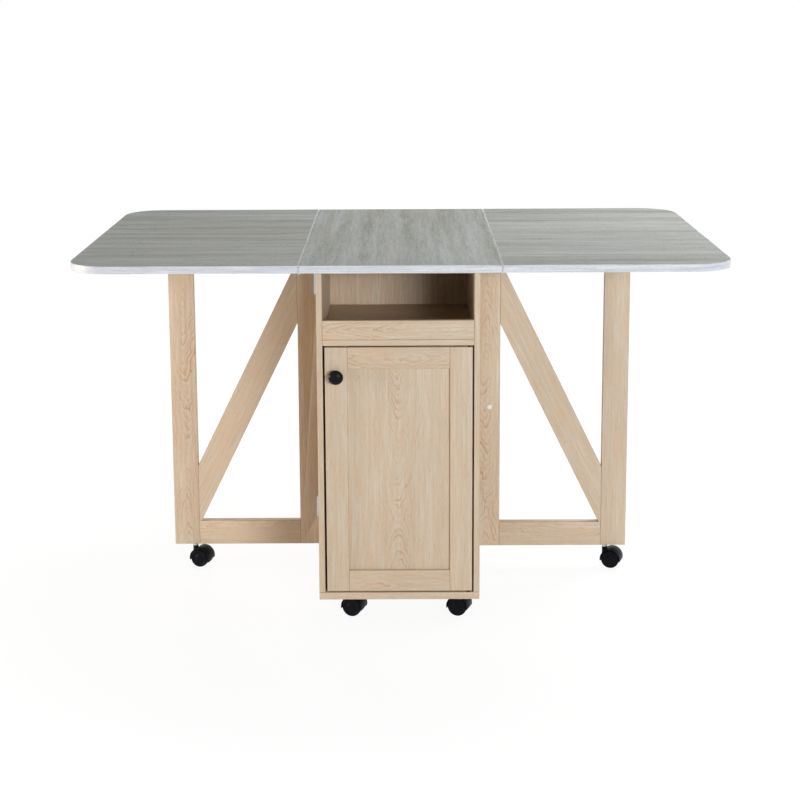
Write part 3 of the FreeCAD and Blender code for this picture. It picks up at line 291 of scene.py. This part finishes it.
def travertine_laminate(looks, name, turn, reach):
    """Grey travertine-print laminate, satin: veins along X turned by turn, that waver by half reach.

    Cool grey-green bands a few centimetres wide, finer streaks in them, pale wisps, and clusters
    of small brownish pits, about as wide as long.
    """
    material, tree, shader = new_material(name, 0.62)
    shader.inputs["Specular IOR Level"].default_value = 0.25
    place = add_node(tree, "TexCoord", {}, {}).outputs["Object"]
    veins = add_node(tree, "Mapping", {}, {"Vector": place, "Rotation": (0.0, 0.0, turn)}).outputs[0]

    def marks(source, along, across, detail=2.0, seed=0.0):
        """Noise whose marks are so many metres along and across the veins."""
        scaled = add_node(tree, "VectorMath", {"operation": "MULTIPLY_ADD"},
                          {0: source, 1: (1 / along, 1 / across, 0.0), 2: (seed, seed, seed)})
        return add_node(tree, "TexNoise", {}, {"Vector": scaled.outputs[0], "Scale": 1.0,
                                               "Detail": detail, "Roughness": 0.6})

    waver = add_node(tree, "VectorMath", {"operation": "MULTIPLY_ADD"},
                     {0: marks(veins, 0.11, 0.05).outputs["Color"], 1: (0.0, reach, 0.0),
                      2: (0.0, -reach / 2, 0.0)})
    bent = add_node(tree, "VectorMath", {"operation": "ADD"}, {0: veins, 1: waver.outputs[0]}).outputs[0]
    total = 0.0
    for along, across, weight, seed in ((0.9, 0.045, 0.9, 3.0), (0.35, 0.016, 0.5, 7.0),
                                        (0.08, 0.005, 0.5, 11.0), (0.022, 0.0024, 0.45, 15.0)):
        value = marks(bent, along, across, 2.0, seed).outputs["Fac"]
        total = add_node(tree, "Math", {"operation": "MULTIPLY_ADD"},
                         {0: value, 1: weight, 2: total}).outputs[0]
    level = add_node(tree, "MapRange", {}, {"Value": total, "From Min": 0.92, "From Max": 1.43})
    stone = add_node(tree, "Mix", {"data_type": "RGBA"},
                     {"Factor": level.outputs["Result"], 6: tuple(looks.dark), 7: tuple(looks.pale)})
    # over the bands come brownish veins, thin pale wisps and clusters of pits
    brown = add_node(tree, "MapRange", {}, {"Value": marks(bent, 0.6, 0.028, 3.0, 51.0).outputs["Fac"],
                                            "From Min": 0.5, "From Max": 0.66, "To Max": 0.5})
    stone = add_node(tree, "Mix", {"data_type": "RGBA"},
                     {"Factor": brown.outputs["Result"], 6: stone.outputs[2], 7: tuple(looks.brown)})
    wisps = add_node(tree, "MapRange", {}, {"Value": marks(bent, 0.09, 0.0025, 2.0, 41.0).outputs["Fac"],
                                            "From Min": 0.6, "From Max": 0.72, "To Max": 0.55})
    stone = add_node(tree, "Mix", {"data_type": "RGBA"},
                     {"Factor": wisps.outputs["Result"], 6: stone.outputs[2], 7: tuple(looks.wisp)})
    specks = add_node(tree, "MapRange", {}, {"Value": marks(bent, 0.0065, 0.0052, 2.0, 23.0).outputs["Fac"],
                                             "From Min": 0.56, "From Max": 0.66})
    clusters = add_node(tree, "MapRange", {}, {"Value": marks(bent, 0.16, 0.03, 3.0, 31.0).outputs["Fac"],
                                               "From Min": 0.46, "From Max": 0.6, "To Max": 0.85})
    pitted = add_node(tree, "Math", {"operation": "MULTIPLY"},
                      {0: specks.outputs["Result"], 1: clusters.outputs["Result"]})
    paint = add_node(tree, "Mix", {"data_type": "RGBA"},
                     {"Factor": pitted.outputs[0], 6: stone.outputs[2], 7: tuple(looks.pit)})
    tree.links.new(paint.outputs[2], shader.inputs["Base Color"])
    bump = add_node(tree, "Bump", {}, {"Height": marks(place, 0.0012, 0.0012, 1.0).outputs["Fac"],
                                       "Strength": 0.12, "Distance": 0.0001})
    tree.links.new(bump.outputs[0], shader.inputs["Normal"])
    return material


def extruded_edging(looks, seam_reach, seam_end):
    """Extruded thermoplastic edge band, satin: a cool near-white with faint streaks along it.

    Nearer the middle than seam_reach across and seam_end along the seams, it has a warmer, slightly lighter
    tone: painted light standing in for the light that the seam edges catch.
    """
    material, tree, shader = new_material("Thermoplastic edge band, extruded", 0.38)
    place = add_node(tree, "TexCoord", {}, {}).outputs["Object"]
    total = -1.15
    # streaks are long in the plane of the top and 1 to 4 mm high, so they follow its outline
    for run, high, weight in ((0.16, 0.004, 1.2), (0.03, 0.0012, 0.9), (0.008, 0.0009, 0.9)):
        scaled = add_node(tree, "VectorMath", {"operation": "MULTIPLY"},
                          {0: place, 1: (1 / run, 1 / run, 1 / high)})
        noise = add_node(tree, "TexNoise", {}, {"Vector": scaled.outputs[0], "Scale": 1.0, "Detail": 2.0})
        total = add_node(tree, "Math", {"operation": "MULTIPLY_ADD"},
                         {0: noise.outputs["Fac"], 1: weight, 2: total}).outputs[0]
    factor = add_node(tree, "Clamp", {}, {"Value": total}).outputs[0]
    paint = add_node(tree, "Mix", {"data_type": "RGBA"},
                     {"Factor": factor, 6: tuple(looks.band), 7: tuple(looks.streak)})
    # painted light: along the seams the bands get a warmer, slightly lighter tone, standing in for the
    # light their edges catch
    apart = add_node(tree, "VectorMath", {"operation": "ABSOLUTE"}, {0: place})
    apart = add_node(tree, "SeparateXYZ", {}, {"Vector": apart.outputs[0]})
    beside = add_node(tree, "Math", {"operation": "LESS_THAN"}, {0: apart.outputs["X"], 1: seam_reach})
    within = add_node(tree, "Math", {"operation": "LESS_THAN"}, {0: apart.outputs["Y"], 1: seam_end})
    seam = add_node(tree, "Math", {"operation": "MULTIPLY"}, {0: beside.outputs[0], 1: within.outputs[0]})
    paint = add_node(tree, "Mix", {"data_type": "RGBA"},
                     {"Factor": seam.outputs[0], 6: paint.outputs[2], 7: tuple(looks.seam_light)})
    tree.links.new(paint.outputs[2], shader.inputs["Base Color"])
    bump = add_node(tree, "Bump", {}, {"Height": total, "Strength": 0.1, "Distance": 0.0001})
    tree.links.new(bump.outputs[0], shader.inputs["Normal"])
    return material


def mottled(name, paint, roughness, metallic, grit, depth, fade, gloss=0.5):
    """A plain finish with grit of that size: its colour fades by a share, and it stands that deep."""
    material, tree, shader = new_material(name, roughness, metallic)
    shader.inputs["Specular IOR Level"].default_value = gloss
    place = add_node(tree, "TexCoord", {}, {}).outputs["Object"]
    fine = add_node(tree, "TexNoise", {}, {"Vector": place, "Scale": 1 / grit, "Detail": 2.0})
    broad = add_node(tree, "TexNoise", {}, {"Vector": place, "Scale": 1 / (grit * 16), "Detail": 3.0})
    faded = tuple(c * (1 - fade) for c in paint[:3]) + (1.0,)
    mixed = add_node(tree, "Mix", {"data_type": "RGBA"},
                     {"Factor": broad.outputs["Fac"], 6: faded, 7: tuple(paint)})
    tree.links.new(mixed.outputs[2], shader.inputs["Base Color"])
    polish = add_node(tree, "MapRange", {}, {"Value": broad.outputs["Fac"], "From Min": 0.3,
                                             "From Max": 0.7, "To Min": roughness * 0.85,
                                             "To Max": min(1.0, roughness * 1.2)})
    tree.links.new(polish.outputs["Result"], shader.inputs["Roughness"])
    bump = add_node(tree, "Bump", {}, {"Height": fine.outputs["Fac"], "Strength": 0.3, "Distance": depth})
    tree.links.new(bump.outputs[0], shader.inputs["Normal"])
    return material


MADE = {}


def finish(name, make, *words):
    """The material of that name, made once."""
    if name not in MADE:
        MADE[name] = make(*words)
    return MADE[name]


def oak():
    """Oak-print melamine."""
    return finish("oak", oak_melamine, bpy.context.scene.table_looks.oak)


def nylon():
    """Injection-moulded black nylon, satin: a fine spark-eroded grain that breaks up the sheen."""
    paint = bpy.context.scene.table_looks.part.nylon
    return finish("nylon", mottled, "Black nylon, moulded", paint, 0.4, 0.0, 0.0005, 0.00003, 0.25, 0.08)


def zinc():
    """Bright zinc plate on pressed steel: a cool grey mirror dulled by the tumbling of the parts."""
    paint = bpy.context.scene.table_looks.part.zinc
    return finish("zinc", mottled, "Zinc-plated steel, tumbled", paint, 0.3, 1.0, 0.0008, 0.00002, 0.12)


def black_oxide():
    """Black oxide on pressed steel, semi-gloss."""
    paint = bpy.context.scene.table_looks.part.oxide
    return finish("oxide", mottled, "Black-oxide steel", paint, 0.42, 0.8, 0.0006, 0.00002, 0.2)


def lacquer():
    """Glossy black lacquer on a turned knob, with the faint waviness of a dipped coat."""
    paint = bpy.context.scene.table_looks.part.lacquer
    return finish("lacquer", mottled, "Black lacquer, dipped", paint, 0.13, 0.0, 0.003, 0.00003, 0.15, 0.16)


def rubber():
    """Pale pressed rubber, matt."""
    paint = bpy.context.scene.table_looks.part.rubber
    return finish("rubber", mottled, "Pale rubber, pressed", paint, 0.55, 0.0, 0.0004, 0.00003, 0.06)


def plastic():
    """White injection-moulded plastic, satin."""
    paint = bpy.context.scene.table_looks.part.plastic
    return finish("plastic", mottled, "White ABS, moulded", paint, 0.38, 0.0, 0.0005, 0.00002, 0.04)


# ---------------------------------------------------------------- shapes

def merged(node):
    """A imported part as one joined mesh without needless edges."""
    bm = bmesh.new()
    bm.from_mesh(NODES[node].data)
    bmesh.ops.remove_doubles(bm, verts=bm.verts, dist=1e-6)
    bmesh.ops.dissolve_limit(bm, angle_limit=math.radians(0.5), verts=bm.verts, edges=bm.edges)
    return bm


def ease(bm, wanted, radius, segments=2):
    """Round the outward edges that wanted picks."""
    sharp = [e for e in bm.edges if len(e.link_faces) == 2 and e.is_convex
             and e.calc_face_angle(0.0) > math.radians(35) and wanted(e)]
    bmesh.ops.bevel(bm, geom=sharp, offset=radius, offset_type="OFFSET", segments=segments,
                    profile=0.5, affect="EDGES", clamp_overlap=True, material=-1)


def turned(outline, steps):
    """A closed outline of (radius, place along Y) points, turned about Y."""
    bm = bmesh.new()
    points = [bm.verts.new((radius, place, 0.0)) for radius, place in outline]
    edges = [bm.edges.new(pair) for pair in zip(points, points[1:])]
    bmesh.ops.spin(bm, geom=points + edges, cent=(0.0, 0.0, 0.0), axis=(0.0, 1.0, 0.0),
                   angle=math.tau, steps=steps, use_merge=True)
    bmesh.ops.remove_doubles(bm, verts=bm.verts, dist=1e-6)
    bmesh.ops.recalc_face_normals(bm, faces=bm.faces)
    return bm


def piece(bm, name, nodes, material, smooth_to=30.0):
    """Make the finished mesh an object that stands for the nodes and rides on their body."""
    mesh = bpy.data.meshes.new(name)
    bm.to_mesh(mesh)
    bm.free()
    mesh.shade_smooth()
    mesh.set_sharp_from_angle(angle=math.radians(smooth_to))
    mesh.materials.append(material)
    made = bpy.data.objects.new(name, mesh)
    bpy.context.scene.collection.objects.link(made)
    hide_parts(*nodes)
    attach(made, NODES[nodes[0]]["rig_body"])
    return made


def paint(material, *nodes):
    """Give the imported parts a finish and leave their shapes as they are."""
    for node in nodes:
        part = NODES[node]
        if not part.material_slots:
            part.data.materials.append(material)
        for slot in part.material_slots:
            slot.material = material


def box_middle(node):
    """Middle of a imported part's box."""
    low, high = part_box(node)
    return (low + high) / 2


# ---------------------------------------------------------------- oak boards

X, Y, Z = Vector((1, 0, 0)), Vector((0, 1, 0)), Vector((0, 0, 1))
STRAIGHT = 0.25  # metres from the pith, where rings run as straight lines
LONGEST_SHARP = 9 * MM  # holes and short cuts keep edges up to this length sharp
FLAT = 0.97  # a face that leans further than this cosine from its side is an eased edge or a bore


def lay_grain(bm, across, along, figure, dip, number, contrast):
    """Write the grain of one board: each face is printed or edged along its own long way."""
    thick = across.cross(along)
    bm.loops.layers.float_color.new("grain")
    arris = bm.loops.layers.float.new("arris")
    layer = bm.loops.layers.float_color["grain"]  # a new layer moves the earlier one
    repeat = bpy.context.scene.table_looks.oak.repeat
    for face in bm.faces:
        lean = {name: abs(face.normal.dot(axis))
                for name, axis in (("across", across), ("along", along), ("thick", thick))}
        facing = max(lean, key=lean.get)
        eased = float(lean[facing] < FLAT)
        wide, run = {"thick": (across, along), "across": (thick, along), "along": (thick, across)}[facing]
        for loop in face.loops:
            spot = loop.vert.co
            side = spot.dot(wide) - (figure[0] if facing == "thick" else 0.0)
            start = spot.dot(run) - (figure[1] if run is along else 0.0)
            far = 0.0 if facing == "thick" and dip else STRAIGHT
            loop[layer] = (side + far, start + 2 * repeat * number, 0.0 if far else dip, contrast)
            # eased faces and bores are marked here, and the oak material paints them darker as painted
            # shade
            loop[arris] = eased


def make_board(node, number, across, along, figure=(0.0, 0.0), dip=0.0, contrast=1.0):
    """One oak board with eased edges, its grain along one axis, or else along its longest edge.

    figure is where its cathedral figure starts, across and along, and dip is how fast the rings
    close in on it. Each board's number gives it its own stretch of the print.
    """
    bm = merged(node)
    if along is None:
        long_edge = max(bm.edges, key=lambda e: e.calc_length())
        along = (long_edge.verts[1].co - long_edge.verts[0].co).normalized()
        across = Y.cross(along)
    ease(bm, lambda e: e.calc_length() > LONGEST_SHARP, bpy.context.scene.table_looks.oak.edge)
    lay_grain(bm, across, along, figure, dip, number, contrast)
    return piece(bm, "oak_" + node, [node], oak())


class TABLE_OT_carcass(bpy.types.Operator):
    """Make the boards of the cabinet and its shelves"""

    bl_idname = "table.carcass"
    bl_label = "Cabinet Boards"

    def execute(self, context):
        make_board("side_panel_left", 1, Y, Z, (0.05, 0.46), 0.22)
        make_board("side_panel_right", 2, Y, Z, (-0.06, 0.33), 0.22)
        make_board("bottom_board", 3, Y, X)
        make_board("carcass_top", 4, Y, X)
        make_board("niche_floor", 5, Y, X, (-0.1, 0.05), 0.2)
        make_board("niche_lip", 6, Z, X, (0.611, 0.085), 0.14)
        make_board("centre_partition", 7, X, Z, contrast=1.8)
        make_board("cupboard_shelf", 8, Y, X, (-0.15, 0.0), 0.2)
        make_board("rear_shelf_lower", 9, Y, X, (0.19, -0.05), 0.2)
        make_board("rear_shelf_upper", 10, Y, X, (0.16, 0.07), 0.2)
        return {"FINISHED"}


class TABLE_OT_door(bpy.types.Operator):
    """Make the frame and panel of the door"""

    bl_idname = "table.door"
    bl_label = "Door Boards"

    def execute(self, context):
        make_board("door_stile_latch", 11, X, Z)
        make_board("door_stile_pivot", 12, X, Z)
        make_board("door_rail_upper", 13, Z, X, (0.553, 0.02), 0.12)
        make_board("door_rail_lower", 14, Z, X, (0.08, -0.05), 0.1)
        make_board("door_panel", 15, X, Z, (-0.006, 0.56), 0.27)
        return {"FINISHED"}


class TABLE_OT_gates(bpy.types.Operator):
    """Make the stiles, rails and braces of both gates"""

    bl_idname = "table.gates"
    bl_label = "Gates"

    def execute(self, context):
        make_board("gate_outer_stile_left", 16, X, Z, (-0.476, 0.60), 0.2, 1.3)
        make_board("gate_outer_stile_right", 17, X, Z)
        make_board("gate_inner_stile_left", 18, X, Z, contrast=1.3)
        make_board("gate_inner_stile_right", 19, X, Z, (0.186, 0.484), 0.22, 1.3)
        for number, side in enumerate(SIDES, 20):
            make_board("gate_rail_lower_" + side, number, Z, X, (0.098, 0.33), 0.08)
            make_board("gate_rail_upper_" + side, number + 2, Z, X)
            make_board("gate_brace_" + side, number + 4, None, None)
        return {"FINISHED"}


# ---------------------------------------------------------------- top

class TABLE_OT_top(bpy.types.Operator):
    """Finish the panels of the top, and make their rounded edge bands"""

    bl_idname = "table.top"
    bl_label = "Top"

    def execute(self, context):
        looks = context.scene.table_looks.top
        paint(finish("leaves", travertine_laminate, looks, "Travertine-print laminate, leaves", 0.0, 0.02),
              "leaf_panel_left", "leaf_panel_right")
        paint(finish("centre", travertine_laminate, looks, "Travertine-print laminate, centre",
                     math.radians(90), 0.008), "top_centre_panel")
        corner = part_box("top_centre_panel")[1]
        # past the bands on both sides of a seam, and short of the bands at its two ends
        seam_reach, seam_end = corner.x + 4 * MM, corner.y - MM
        edging = finish("edging", extruded_edging, looks, seam_reach, seam_end)
        for node in ("leaf_edge_band_left", "leaf_edge_band_right", "top_centre_edge_band"):
            bm = merged(node)
            low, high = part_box(node)
            sharp_reach = seam_reach if "leaf" in node else 0.0

            def is_outer_rim(edge):
                """Top or bottom edge of the band's outside."""
                outside = [f for f in edge.link_faces if abs(f.normal.z) < 0.5]
                middle = (edge.verts[0].co + edge.verts[1].co) / 2
                inward = Vector((low.x + high.x, low.y + high.y, 0.0)) / 2 - middle
                at_seam = abs(middle.x) < sharp_reach
                return (len(outside) == 1 and not at_seam
                        and outside[0].normal.x * inward.x + outside[0].normal.y * inward.y < 0)

            ease(bm, is_outer_rim, looks.edge, 3)
            piece(bm, "rounded_" + node, [node], edging)
        return {"FINISHED"}


# ---------------------------------------------------------------- knob, bumpers

class TABLE_OT_knob(bpy.types.Operator):
    """Turn the mushroom knob of the door"""

    bl_idname = "table.knob"
    bl_label = "Door Knob"

    def execute(self, context):
        low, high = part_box("door_knob")
        long, wide = high.y - low.y, (high.x - low.x) / 2
        foot, neck = wide * 0.56, wide * 0.42
        # radius, and height above the door
        outline = [(0.0, 0.0), (foot * 0.9, 0.0), (foot, 0.0004), (foot, 0.0016), (neck * 1.1, 0.0032),
                   (neck, 0.006), (neck * 1.04, long * 0.4), (wide * 0.62, long * 0.5),
                   (wide * 0.9, long * 0.56), (wide, long * 0.65), (wide * 0.98, long * 0.74),
                   (wide * 0.88, long * 0.83), (wide * 0.7, long * 0.91), (wide * 0.48, long * 0.96),
                   (wide * 0.24, long * 0.99), (0.0, long)]
        bm = turned([(radius, -height) for radius, height in outline], 48)
        middle = box_middle("door_knob")
        bmesh.ops.translate(bm, verts=bm.verts, vec=(middle.x, high.y, middle.z))
        knob = piece(bm, "turned_knob", ["door_knob"], lacquer(), 60.0)
        smoother = knob.modifiers.new("Smooth", "SUBSURF")
        smoother.levels = smoother.render_levels = 1
        return {"FINISHED"}


class TABLE_OT_bumpers(bpy.types.Operator):
    """Turn the domed bumper of each gate"""

    bl_idname = "table.bumpers"
    bl_label = "Bumpers"

    def execute(self, context):
        for side, outward in zip(SIDES, (1, -1)):
            node = "gate_bumper_" + side
            low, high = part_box(node)
            thick, wide = high.y - low.y, (high.x - low.x) / 2
            outline = [(0.0, 0.0), (wide, 0.0), (wide, thick * 0.4), (wide * 0.9, thick * 0.75),
                       (wide * 0.7, thick * 0.93), (wide * 0.4, thick), (0.0, thick)]
            bm = turned([(radius, outward * height) for radius, height in outline], 32)
            middle = box_middle(node)
            wall = low.y if outward > 0 else high.y
            bmesh.ops.translate(bm, verts=bm.verts, vec=(middle.x, wall, middle.z))
            piece(bm, "domed_" + node, [node], rubber(), 60.0)
        return {"FINISHED"}


# ---------------------------------------------------------------- casters

class TABLE_OT_casters(bpy.types.Operator):
    """Make the hoods and the turned twin wheels of all six casters"""

    bl_idname = "table.casters"
    bl_label = "Casters"

    def execute(self, context):
        for name in CASTERS:
            hood = "caster_hood_" + name
            bm = merged(hood)
            ease(bm, lambda e: True, context.scene.table_looks.part.edge)
            piece(bm, "moulded_" + hood, [hood], nylon(), 40.0)
            self.make_wheels(name)
        return {"FINISHED"}

    def make_wheels(self, name):
        """Both wheels and the axle, round the axis of the caster's spin joint."""
        joint = JOINTS["spin_" + name]
        place = Vector(joint["pos_m"])
        tread = place.z / MM
        # radius and distance from the caster's middle in millimetres: tread, rounded rim, dish, hub
        wheel = [(0.0, 5.0)] + [(tread - inwards, along) for inwards, along in (
            (2.6, 5.0), (1.6, 5.4), (0.8, 6.0), (0.2, 7.2), (0.0, 8.6), (0.0, 14.4), (0.25, 16.0),
            (0.9, 17.3), (1.8, 17.9), (2.8, 18.0), (3.6, 17.8), (4.1, 17.2), (5.0, 16.9), (9.5, 16.8),
            (11.5, 17.0), (12.3, 17.6), (13.3, 17.95))] + [(0.0, 18.0)]
        axle = [(0.0, -5.5), (2.5, -5.5), (2.5, 5.5), (0.0, 5.5)]
        whole = bmesh.new()
        scratch = bpy.data.meshes.new("scratch")
        for outline, sign in ((wheel, 1), (wheel, -1), (axle, 1)):
            bm = turned([(radius * MM, sign * along * MM) for radius, along in outline], 48)
            bm.to_mesh(scratch)
            bm.free()
            whole.from_mesh(scratch)
        bpy.data.meshes.remove(scratch)
        turn = Vector((0.0, 1.0, 0.0)).rotation_difference(Vector(joint["axis"])).to_matrix().to_4x4()
        bmesh.ops.transform(whole, matrix=Matrix.Translation(place) @ turn, verts=whole.verts)
        node = "caster_wheels_" + name
        piece(whole, "turned_" + node, [node], nylon(), 32.0)


# ---------------------------------------------------------------- metal and small parts

class TABLE_OT_fittings(bpy.types.Operator):
    """Finish the hinges, stems, plates, screws, pins and the catch"""

    bl_idname = "table.fittings"
    bl_label = "Fittings"

    def execute(self, context):
        paint(zinc(), "gate_hinge_fixed_leaves", "leaf_hinge_fixed_leaves", "shelf_pins",
              "carcass_fasteners",
              *(kind + side for side in SIDES
                for kind in ("gate_hinge_leaves_", "leaf_hinge_leaves_", "gate_caster_stem_")))
        paint(black_oxide(), "caster_plates", "door_fittings")
        paint(plastic(), "magnetic_catch")
        return {"FINISHED"}


# ---------------------------------------------------------------- studio

CAMERA_PLACE = (0.00433, -3.45643, 1.27771)
CAMERA_TURN = (80.25771, 0.2536, 0.05339)  # degrees


class TABLE_OT_studio(bpy.types.Operator):
    """Make the floor, the lamps, the sky and the camera"""

    bl_idname = "table.studio"
    bl_label = "Studio"

    def execute(self, context):
        scene, looks = context.scene, context.scene.table_looks.studio
        scene.view_settings.view_transform = "Standard"
        self.make_floor()
        world = bpy.data.worlds.new("Studio sky")
        scene.world = world
        world.use_nodes = True
        tree = world.node_tree
        seen = self.seen_directly(tree)
        # less light comes from the dark end of the studio, behind the camera
        towards = add_node(tree, "TexCoord", {}, {}).outputs["Generated"]
        ahead = add_node(tree, "VectorMath", {"operation": "DOT_PRODUCT"}, {0: towards, 1: -Y})
        even = add_node(tree, "MapRange", {"interpolation_type": "SMOOTHSTEP"},
                        {"Value": ahead.outputs["Value"], "From Min": 0.7, "From Max": 0.8,
                         "To Min": looks.sky, "To Max": looks.front})
        level = add_node(tree, "Mix", {"data_type": "FLOAT"},
                         {"Factor": seen, 2: even.outputs["Result"], 3: 1.0})
        tree.nodes["Background"].inputs["Color"].default_value = (1.0, 1.0, 1.0, 1.0)
        tree.links.new(level.outputs[0], tree.nodes["Background"].inputs["Strength"])
        front_right, cabinet = (2.93, -7.45, 1.85), (0.0, 0.0, 0.5)
        key = self.hang("Key softbox", looks.key, "#FFFFFF", (3.0, 0.6), front_right, cabinet)
        self.hang("Glint", looks.glint, "#FBFCFF", (3.0, 1.6), front_right, cabinet)
        self.hang("Right softbox", looks.right, "#FFFFFF", (1.2, 1.2), (1.8, 1.0, 2.4), (0.0, 0.0, 0.7))
        self.hang("Left softbox", looks.left, "#FFF1DF", (2.0, 2.0), (-4.0, -0.5, 0.5), (0.0, 0.0, 0.4))
        back = self.hang("Back softbox", looks.back, "#FFFFFF", (2.0, 2.0), (-1.2, 5.0, 1.2),
                         (0.0, 0.0, 0.4))
        for lamp in (key, back):
            lamp.visible_glossy = False  # both would glare in the top
        camera = bpy.data.objects.new("Camera", bpy.data.cameras.new("Camera"))
        scene.collection.objects.link(camera)
        camera.data.sensor_width = 36.0
        camera.data.lens, camera.data.shift_y = looks.lens, looks.rise
        camera.location = CAMERA_PLACE
        camera.rotation_euler = [math.radians(angle) for angle in CAMERA_TURN]
        scene.camera = camera
        return {"FINISHED"}

    def hang(self, name, power, code, size, place, aim):
        """An oval softbox of that width and height at that place, turned to its aim."""
        light = bpy.data.lights.new(name, "AREA")
        light.shape, light.energy, light.color = "ELLIPSE", power, linear(code)[:3]
        light.size, light.size_y = size
        lamp = bpy.data.objects.new(name, light)
        bpy.context.scene.collection.objects.link(lamp)
        lamp.visible_camera = False
        lamp.location = place
        lamp.rotation_euler = (Vector(aim) - Vector(place)).to_track_quat("-Z", "Y").to_euler()
        return lamp

    def seen_directly(self, tree):
        """1 where a ray comes from the camera or off gloss or glass, else 0."""
        path = add_node(tree, "LightPath", {}, {})
        gloss = add_node(tree, "Math", {"operation": "MAXIMUM"},
                         {0: path.outputs["Is Glossy Ray"], 1: path.outputs["Is Transmission Ray"]})
        return add_node(tree, "Math", {"operation": "MAXIMUM"},
                        {0: path.outputs["Is Camera Ray"], 1: gloss.outputs[0]}).outputs[0]

    def make_floor(self):
        """A round white floor that keeps a faint shadow near the table and turns to plain white."""
        bm = bmesh.new()
        bmesh.ops.create_circle(bm, cap_ends=True, segments=96, radius=6.0)
        mesh = bpy.data.meshes.new("floor")
        bm.to_mesh(mesh)
        bm.free()
        floor = bpy.data.objects.new("floor", mesh)
        bpy.context.scene.collection.objects.link(floor)
        material, tree, shader = new_material("White paper sweep, matt", 0.9, 0.0, linear("#F4F4F4"))
        output = next(n for n in tree.nodes if n.type == "OUTPUT_MATERIAL")
        place = add_node(tree, "TexCoord", {}, {}).outputs["Object"]
        away = add_node(tree, "VectorMath", {"operation": "LENGTH"}, {0: place}).outputs["Value"]
        plain = add_node(tree, "MapRange", {"interpolation_type": "SMOOTHSTEP"},
                         {"Value": away, "From Min": 0.6, "From Max": 1.6, "To Min": 0.88, "To Max": 1.0})
        share = add_node(tree, "Math", {"operation": "MULTIPLY"},
                         {0: plain.outputs["Result"], 1: self.seen_directly(tree)})
        glow = add_node(tree, "Emission", {}, {"Strength": 1.04})
        mixed = add_node(tree, "MixShader", {}, {0: share.outputs[0], 1: shader.outputs[0],
                                                 2: glow.outputs[0]})
        tree.links.new(mixed.outputs[0], output.inputs["Surface"])
        mesh.materials.append(material)


class TABLE_PT_looks(bpy.types.Panel):
    """Lists the makers and their sizes and colours"""

    bl_idname = "TABLE_PT_looks"
    bl_label = "Kitchen Table"
    bl_space_type = "VIEW_3D"
    bl_region_type = "UI"
    bl_category = "Table"

    def draw(self, context):
        for maker in MAKERS:
            self.layout.operator(maker.bl_idname)
        looks = context.scene.table_looks
        for group in (looks.oak, looks.top, looks.part, looks.studio):
            column = self.layout.column()
            for name in group.__annotations__:
                column.prop(group, name)


MAKERS = (TABLE_OT_carcass, TABLE_OT_door, TABLE_OT_gates, TABLE_OT_top, TABLE_OT_knob,
          TABLE_OT_bumpers, TABLE_OT_casters, TABLE_OT_fittings, TABLE_OT_studio)
CLASSES = (OakLooks, TopLooks, PartLooks, StudioLooks, TableLooks, *MAKERS, TABLE_PT_looks)


def register():
    """Add the classes and the scene's settings."""
    for cls in CLASSES:
        bpy.utils.register_class(cls)
    bpy.types.Scene.table_looks = PointerProperty(type=TableLooks)


def unregister():
    """Take away the scene's settings and the classes."""
    del bpy.types.Scene.table_looks
    for cls in reversed(CLASSES):
        bpy.utils.unregister_class(cls)


def main():
    """Make every piece in order."""
    register()
    bpy.ops.table.carcass()
    bpy.ops.table.door()
    bpy.ops.table.gates()
    bpy.ops.table.top()
    bpy.ops.table.knob()
    bpy.ops.table.bumpers()
    bpy.ops.table.casters()
    bpy.ops.table.fittings()
    bpy.ops.table.studio()


if __name__ == "__main__":
    main()
